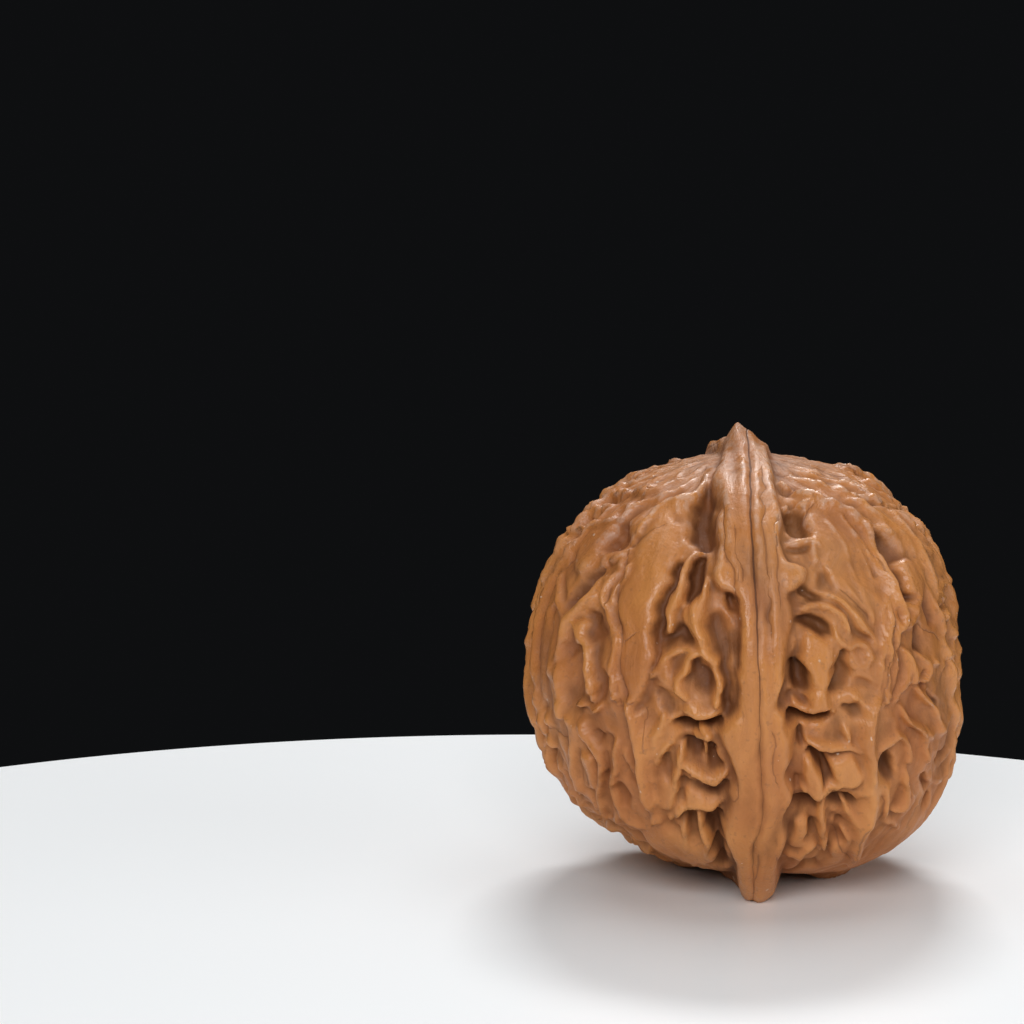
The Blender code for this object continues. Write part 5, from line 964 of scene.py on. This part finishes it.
def relief(points, strokes):
    """Height over the plain body at points on it."""
    moved = wandered(points)
    read = read_share(points)
    land = net_relief(points) * (1.0 - READ_CALM * read)
    rib, on_rib, offset = rib_relief(points + drift(points, *RIB_WANDER, SEED + 7))
    raised = np.zeros(len(points))
    calm = on_rib.copy()
    kept = on_rib.copy()
    carved = np.zeros(len(points))
    groove = SEAM_DEPTH * smooth_share(np.hypot(points[:, 0] - BEAK_X, points[:, 1]), *SEAM_FADE)
    creased = groove * np.clip(1.0 - np.abs(offset) / SEAM_HALF_WIDTH, 0.0, 1.0)
    for kind, height, path, widths in strokes:
        span = STROKE_REACH[kind]
        near = near_path(moved, path, widths.max() * span)
        across = np.clip(path_distance(moved[near], path, widths), 0.0, span)
        if kind == "hollow":
            shape = smooth_share(-across, -span, -HOLLOW_FLOOR)
            carved[near] = soft_max(carved[near], height * shape, STROKE_BLEND)
        elif kind == "crease":
            creased[near] = np.maximum(creased[near], height * (1.0 - across))
        elif kind == "ridge":
            shape = ridge_profile(across)
            raised[near] = soft_max(raised[near], height * shape, STROKE_BLEND)
            kept[near] = np.maximum(kept[near], RIDGE_KEEPS * smooth_share(shape, *RIDGE_KEPT))
        else:
            flatness, fall = SWELLING_SHAPE
            shape = (1.0 - (across / span) ** flatness) ** fall
            raised[near] = soft_max(raised[near], height * shape, SWELLING_BLEND)
            calm[near] = np.maximum(calm[near], smooth_share(shape, *SWELLING_CALM))
            kept[near] = np.maximum(kept[near], smooth_share(shape, *SWELLING_KEPT))
    land = land * (1.0 - CALMING * calm)
    outward = smooth_share(from_axis(points), *RAISED_FADE)
    raised = raised * (RAISED_AT_AXIS + (1.0 - RAISED_AT_AXIS) * outward)
    under = (1.0 - read) * (1.0 - smooth_share(points[:, 2], *UNDERSIDE_FADE))
    raised = raised * (1.0 - UNDERSIDE_RAISED * under)
    carved = carved * (1.0 - UNDERSIDE_CARVED * under)
    open_land = land + raised * (1.0 - CALMING * on_rib) + strand_relief(points) * (1.0 - on_rib)
    total = soft_max(open_land, rib + NET_ON_RIB * land, RIB_BLEND)
    return total - np.maximum(carved, 0.0) * (1.0 - kept) - creased


def beak_rise(plain):
    """The beak: a leaning pyramid over the seam on a low swelling, with a small lobe behind it."""
    right = plain[:, 0] - BEAK_X
    across = np.abs(right) / np.where(right < 0.0, BEAK_LEFT, BEAK_RIGHT)
    along = np.abs(plain[:, 1]) / BEAK_DEEP
    reach = (across ** BEAK_SQUARENESS + along ** BEAK_SQUARENESS + BEAK_ROUNDNESS) ** (1 / BEAK_SQUARENESS)
    pyramid = BEAK_HEIGHT * np.clip(1.0 - reach, 0.0, 1.0) ** BEAK_HOLLOWING
    lobe_x, lobe_y, lobe_height = BEAK_LOBE
    half_x, half_y = BEAK_LOBE_RADII
    from_lobe = ((plain[:, 0] - lobe_x) / half_x) ** 2 + ((plain[:, 1] - lobe_y) / half_y) ** 2
    lobe = lobe_height * np.exp(-(from_lobe ** BEAK_LOBE_FALL))
    collar = COLLAR_HEIGHT * np.exp(-(right ** 2 + plain[:, 1] ** 2) / COLLAR_REACH ** 2)
    return (np.maximum(pyramid, lobe) + collar) * (plain[:, 2] > BODY_CENTRE_Z)


def placed_at(plain, height):
    """Where the body's points come to lie: raised, leaning, sagging, with beak and resting spots."""
    normals = body_normal(plain)
    right_shear = np.where(normals[:, 2] < 0.0, RIGHT_SHEAR_LOW, RIGHT_SHEAR_HIGH)
    shear = np.where(normals[:, 0] < 0.0, LEFT_SHEAR, right_shear)
    lean = normals[:, 0] * (LEAN + RIGHT_SWELL * np.abs(normals[:, 2]) - shear * normals[:, 2])
    placed = plain + normals * (height + lean)[:, None]
    placed += downhill(normals) * sag(plain) * height[:, None]
    placed[:, 2] += beak_rise(plain)
    for pad_x, pad_y, drop in RESTING_PADS:
        half_x, half_y = RESTING_PAD_RADII
        pad = np.exp(-(((plain[:, 0] - pad_x) / half_x) ** 2 + ((plain[:, 1] - pad_y) / half_y) ** 2))
        placed[:, 2] -= drop * pad * (plain[:, 2] < BODY_CENTRE_Z)
    placed[:, 2] = np.maximum(placed[:, 2], 0.0)
    return placed


def sphere_grid(cells):
    """A cube's fine grid as a mesh, and the ways out through its points, spread evenly by angle."""
    grid = bmesh.new()
    bmesh.ops.create_cube(grid, size=2.0)
    bmesh.ops.subdivide_edges(grid, edges=grid.edges[:], cuts=cells - 1, use_grid_fill=True)
    mesh = bpy.data.meshes.new("walnut_shell")
    grid.to_mesh(mesh)
    grid.free()
    flat = np.empty(len(mesh.vertices) * 3)
    mesh.vertices.foreach_get("co", flat)
    towards = np.tan(flat.reshape(-1, 3) * math.pi / 4)
    return mesh, towards / np.linalg.norm(towards, axis=1, keepdims=True)


def edge_ends(mesh):
    """The numbers of the points at both ends of every edge."""
    ends = np.empty(len(mesh.edges) * 2, np.int32)
    mesh.edges.foreach_get("vertices", ends)
    return ends[0::2], ends[1::2]


def gathered(ends, at_first, at_second, count):
    """For each point, the sum of what its edges bring to it."""
    first, second = ends
    return np.bincount(first, at_first, count) + np.bincount(second, at_second, count)


def neighbour_mean(ends, values, rounds):
    """Values evened out over the mesh by as many rounds of mixing with the neighbours' mean."""
    first, second = ends
    count = len(values)
    degree = gathered(ends, None, None, count)
    for _ in range(rounds):
        values = 0.5 * values + 0.5 * gathered(ends, values[second], values[first], count) / degree
    return values


def drawn_to_steep(ends, plain, placed):
    """The body's points moved towards their longest edges, so that steep walls get more of them."""
    first, second = ends
    count = len(plain)
    length = np.linalg.norm(placed[first] - placed[second], axis=1)
    weight = gathered(ends, length, length, count)
    columns = [gathered(ends, length * flat[second], length * flat[first], count) for flat in plain.T]
    middle = np.stack(columns, axis=1) / weight[:, None]
    return onto_body((1.0 - STEEP_PULL) * plain + STEEP_PULL * middle)


def crease_offset(points, paths):
    """Signed distance to the nearest of the thin creases."""
    nearest = np.full(len(points), CREASE_FADE)
    for path in paths:
        near = near_path(points, path, CREASE_FADE)
        for start, end in zip(path, path[1:]):
            arm = from_run(points[near], start, end)[1]
            side = np.cross(body_normal(points[near]), end - start)
            distance = np.linalg.norm(arm, axis=1) * np.where((arm * side).sum(axis=1) < 0.0, -1.0, 1.0)
            closer = np.abs(distance) < np.abs(nearest[near])
            nearest[near[closer]] = distance[closer]
    return nearest


def add_layer(mesh, name, values):
    """Values kept at the mesh's points for the finish to read: numbers, or places of three numbers."""
    kind, field = ("FLOAT", "value") if values.ndim == 1 else ("FLOAT_VECTOR", "vector")
    layer = mesh.attributes.new(name, kind, "POINT")
    layer.data.foreach_set(field, values.astype(np.float32).ravel())


def placed_object(name, data, place=(0.0, 0.0, 0.0)):
    """A new object in the scene that shows the mesh, lamp or camera data."""
    made = bpy.data.objects.new(name, data)
    made.location = place
    bpy.context.scene.collection.objects.link(made)
    return made


def build_shell():
    """The fine shell, with the layers of its finish."""
    strokes = all_strokes()
    mesh, towards = sphere_grid(GRID)
    ends = edge_ends(mesh)
    plain = onto_body(CENTRE + towards)
    for _ in range(SETTLING_ROUNDS):
        plain = drawn_to_steep(ends, plain, placed_at(plain, relief(plain, strokes)))
    height = neighbour_mean(ends, relief(plain, strokes), SOFTENING_ROUNDS)
    points = placed_at(plain, height)
    middle = (points.min(axis=0) + points.max(axis=0)) / 2
    points[:, :2] -= middle[:2]
    mesh.vertices.foreach_set("co", (points * MM).ravel())
    mesh.shade_smooth()
    mesh.update()
    on_rib, offset = rib_relief(plain + drift(plain, *RIB_WANDER, SEED + 7))[1:]
    closing, first, last = SEAM_OPEN
    open_seam = 1.0 - closing * smooth_share(seam_turn(plain), first, last)
    creases = [path for kind, _, path, _ in strokes if kind == "crease"]
    from_crease = crease_offset(wandered(plain), creases)
    add_layer(mesh, "rise", height - neighbour_mean(ends, height, BROAD_ROUNDS))
    add_layer(mesh, "detail", height - neighbour_mean(ends, height, FINE_ROUNDS))
    add_layer(mesh, "from_seam", np.clip(offset / open_seam, -SEAM_REACH, SEAM_REACH))
    add_layer(mesh, "on_rib", on_rib)
    add_layer(mesh, "flow", flow_place(plain + drift(plain, *FLOW_WANDER, SEED + 51), FLOW_LENGTH) * MM)
    add_layer(mesh, "from_crease", from_crease)
    add_layer(mesh, "at_crease", smooth_share(-np.abs(from_crease), *CREASE_SHOWS))
    return placed_object("walnut_shell", mesh)


class Wiring:
    """Adds shader nodes to a tree. What goes in is a number, a colour or another node's output."""

    def __init__(self, tree):
        self.tree = tree

    def feed(self, socket, value):
        if isinstance(value, bpy.types.NodeSocket):
            self.tree.links.new(value, socket)
        else:
            socket.default_value = value

    def put(self, kind, inputs=None, **settings):
        """A new node with its settings and its inputs, by their names or numbers."""
        made = self.tree.nodes.new("ShaderNode" + kind)
        for name, value in settings.items():
            setattr(made, name, value)
        for name, value in (inputs or {}).items():
            self.feed(made.inputs[name], value)
        return made

    def layer(self, name, output="Fac"):
        """Values that the mesh keeps at its points."""
        return self.put("Attribute", attribute_name=name).outputs[output]

    def math(self, operation, *values):
        return self.put("Math", dict(enumerate(values)), operation=operation).outputs[0]

    def times(self, first, second):
        return self.math("MULTIPLY", first, second)

    def plus(self, first, second):
        return self.math("ADD", first, second)

    def scaled(self, value, scale, added):
        return self.math("MULTIPLY_ADD", value, scale, added)

    def size_of(self, value):
        return self.math("ABSOLUTE", value)

    def spread(self, value, name):
        """The value carried smoothly over one of the named ranges."""
        names = ("From Min", "From Max", "To Min", "To Max")
        inputs = {"Value": value, **dict(zip(names, RANGES[name]))}
        return self.put("MapRange", inputs, interpolation_type="SMOOTHSTEP").outputs["Result"]

    def noise(self, place, name):
        """One of the named noises."""
        scale, detail, rough = NOISES[name]
        inputs = {"Vector": place, "Scale": scale, "Detail": detail, "Roughness": rough}
        return self.put("TexNoise", inputs).outputs["Fac"]

    def patches(self, place, name):
        """A named noise carried over the range of the same name."""
        return self.spread(self.noise(place, name), name)

    def swing(self, place, name):
        """A named noise that swings evenly to both sides of 0."""
        return self.scaled(self.noise(place, name), SWINGS[name], -NOISE_MIDDLE * SWINGS[name])

    def line(self, distance, wander, name):
        """1 along a wandering line, from the distance to it."""
        return self.spread(self.scaled(wander, LINE_WANDER[name], self.size_of(distance)), name)

    def stain(self, colour, mask, name):
        """The colour with one of the named stains over it where the mask is 1."""
        strength, tint = STAINS[name]
        inputs = {0: self.times(mask, strength), 6: colour, 7: tint}
        return self.put("Mix", inputs, data_type="RGBA").outputs[2]


def toned_with_painted_shade(wire, level):
    """The shell's tones, from its hollows to its crests, darkest where painted shade fills the hollows."""
    ramp = wire.put("ValToRGB", {"Fac": wire.spread(level, "tones and hollow shade")})
    bar = ramp.color_ramp
    bar.elements[0].position, bar.elements[0].color = TONES_AND_HOLLOW_SHADE[0]
    bar.elements[1].position, bar.elements[1].color = TONES_AND_HOLLOW_SHADE[-1]
    for position, colour in TONES_AND_HOLLOW_SHADE[1:-1]:
        bar.elements.new(position).color = colour
    return ramp.outputs["Color"]


def shell_finish():
    """Handled shell: tones by height with painted shade in the hollows, stains, a painted pale highlight on
    the upper crests and the beak, pores, dust, painted shade along the thin creases and the dark seam.
    """
    finish = bpy.data.materials.new("polished_shell")
    finish.use_nodes = True
    wire = Wiring(finish.node_tree)
    surface = finish.node_tree.nodes["Principled BSDF"]
    place = wire.put("TexCoord").outputs["Object"]
    flow = wire.layer("flow", "Vector")
    detail = wire.layer("detail")
    height = wire.put("SeparateXYZ", {"Vector": place}).outputs["Z"]
    wander = wire.noise(place, "wander")

    uneven = wire.plus(wire.swing(place, "mottle"), wire.swing(flow, "streak"))
    # The level is higher on crests and lower in hollows than their surroundings, so the tones paint shade
    # into the hollows and light onto the crests, over the shell's own greyer valleys and orange crests
    level = wire.plus(wire.scaled(detail, DETAIL_SHADING, wire.layer("rise")), uneven)
    level = wire.scaled(wire.layer("on_rib"), RIB_TONE, level)

    vein = wire.spread(wire.size_of(wire.plus(wire.noise(flow, "vein"), -NOISE_MIDDLE)), "vein")
    # Painted highlight: pale colour on the fine crests high up and on the beak, standing in for the top
    # lamps' sheen
    crests = wire.times(wire.spread(detail, "painted sheen on crests"), wire.spread(height, "painted sheen by height"))
    bloom = wire.math("MAXIMUM", crests, wire.spread(height, "painted sheen on beak"))
    # Painted shade: a dark line along each thin crease, darkening the colour and cut in by the bump
    hairline = wire.line(wire.layer("from_crease"), wander, "hairline")
    hairline = wire.times(hairline, wire.layer("at_crease"))
    seam = wire.line(wire.layer("from_seam"), wander, "seam")
    seam = wire.times(seam, wire.spread(height, "seam by height"))
    masks = {
        "ruddy": wire.patches(place, "ruddy"),
        "golden": wire.patches(flow, "golden"),
        "vein": vein,
        "bloom": wire.times(bloom, wire.patches(place, "bloom")),
        "dust": wire.patches(place, "dust"),
        "pores": wire.patches(place, "pores"),
        "hairline": hairline,
        "seam": seam,
    }
    colour = toned_with_painted_shade(wire, level)
    for name, mask in masks.items():
        colour = wire.stain(colour, mask, name)
    wire.feed(surface.inputs["Base Color"], colour)

    rough = wire.plus(wire.spread(level, "roughness"), wire.spread(height, "rougher below"))
    wire.feed(surface.inputs["Roughness"], wire.plus(rough, wire.swing(place, "gloss")))
    surface.inputs["Specular IOR Level"].default_value = SPECULAR

    patterns = {name: wire.noise(place, name) for name in ("crumple", "grain")}
    patterns.update(hairline=hairline, seam=seam, vein=vein)
    bumps = wire.times(wire.noise(flow, "furrows"), wire.spread(height, "furrows by height"))
    for name, pattern in patterns.items():
        bumps = wire.scaled(pattern, BUMPS[name], bumps)
    bump = wire.put("Bump", {"Height": bumps, "Strength": BUMP_STRENGTH, "Distance": BUMP_DISTANCE})
    wire.feed(surface.inputs["Normal"], bump.outputs["Normal"])
    return finish


def turned_to(place, aim):
    """The turn by which a lamp or camera at a place looks at its aim."""
    return (Vector(aim) - Vector(place)).to_track_quat("-Z", "Y").to_euler()


def look_camera():
    """The camera, at the viewing angle that the front was read from."""
    eye = (CENTRE + SIGHT_DISTANCE * TOWARDS_EYE) * MM
    aim = (CENTRE - VIEW_LEFT * SIGHT_RIGHT + VIEW_UP * SIGHT_UP) * MM
    data = bpy.data.cameras.new("view")
    data.sensor_width = VIEW_SENSOR
    data.lens = VIEW_LENS
    data.clip_start = VIEW_CLIP
    camera = placed_object("view", data, eye)
    camera.rotation_euler = turned_to(eye, aim)
    bpy.context.scene.camera = camera


def studio():
    """A pale round floor, a dark room and soft lamps."""
    grid = bmesh.new()
    bmesh.ops.create_cone(grid, cap_ends=True, segments=FLOOR_SIDES, radius1=FLOOR_RADIUS,
                          radius2=FLOOR_RADIUS, depth=FLOOR_THICKNESS)
    mesh = bpy.data.meshes.new("floor")
    grid.to_mesh(mesh)
    grid.free()
    floor = placed_object("floor", mesh, FLOOR_PLACE)
    white = bpy.data.materials.new("pale_floor")
    white.use_nodes = True
    surface = white.node_tree.nodes["Principled BSDF"]
    surface.inputs["Base Color"].default_value = FLOOR_COLOUR
    surface.inputs["Roughness"].default_value = FLOOR_ROUGHNESS
    mesh.materials.append(white)
    world = bpy.data.worlds.new("dark")
    bpy.context.scene.world = world
    world.use_nodes = True
    world.node_tree.nodes["Background"].inputs["Color"].default_value = WORLD_COLOUR
    for name, place, size, power in LAMPS:
        data = bpy.data.lights.new(name, "AREA")
        data.shape = "RECTANGLE"
        data.size, data.size_y = size
        data.energy = power
        placed_object(name, data, place).rotation_euler = turned_to(place, LAMP_AIM)
    bpy.context.scene.view_settings.view_transform = "Standard"


shell = build_shell()
shell.data.materials.append(shell_finish())
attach(shell, "root")
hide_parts("walnut")
look_camera()
studio()
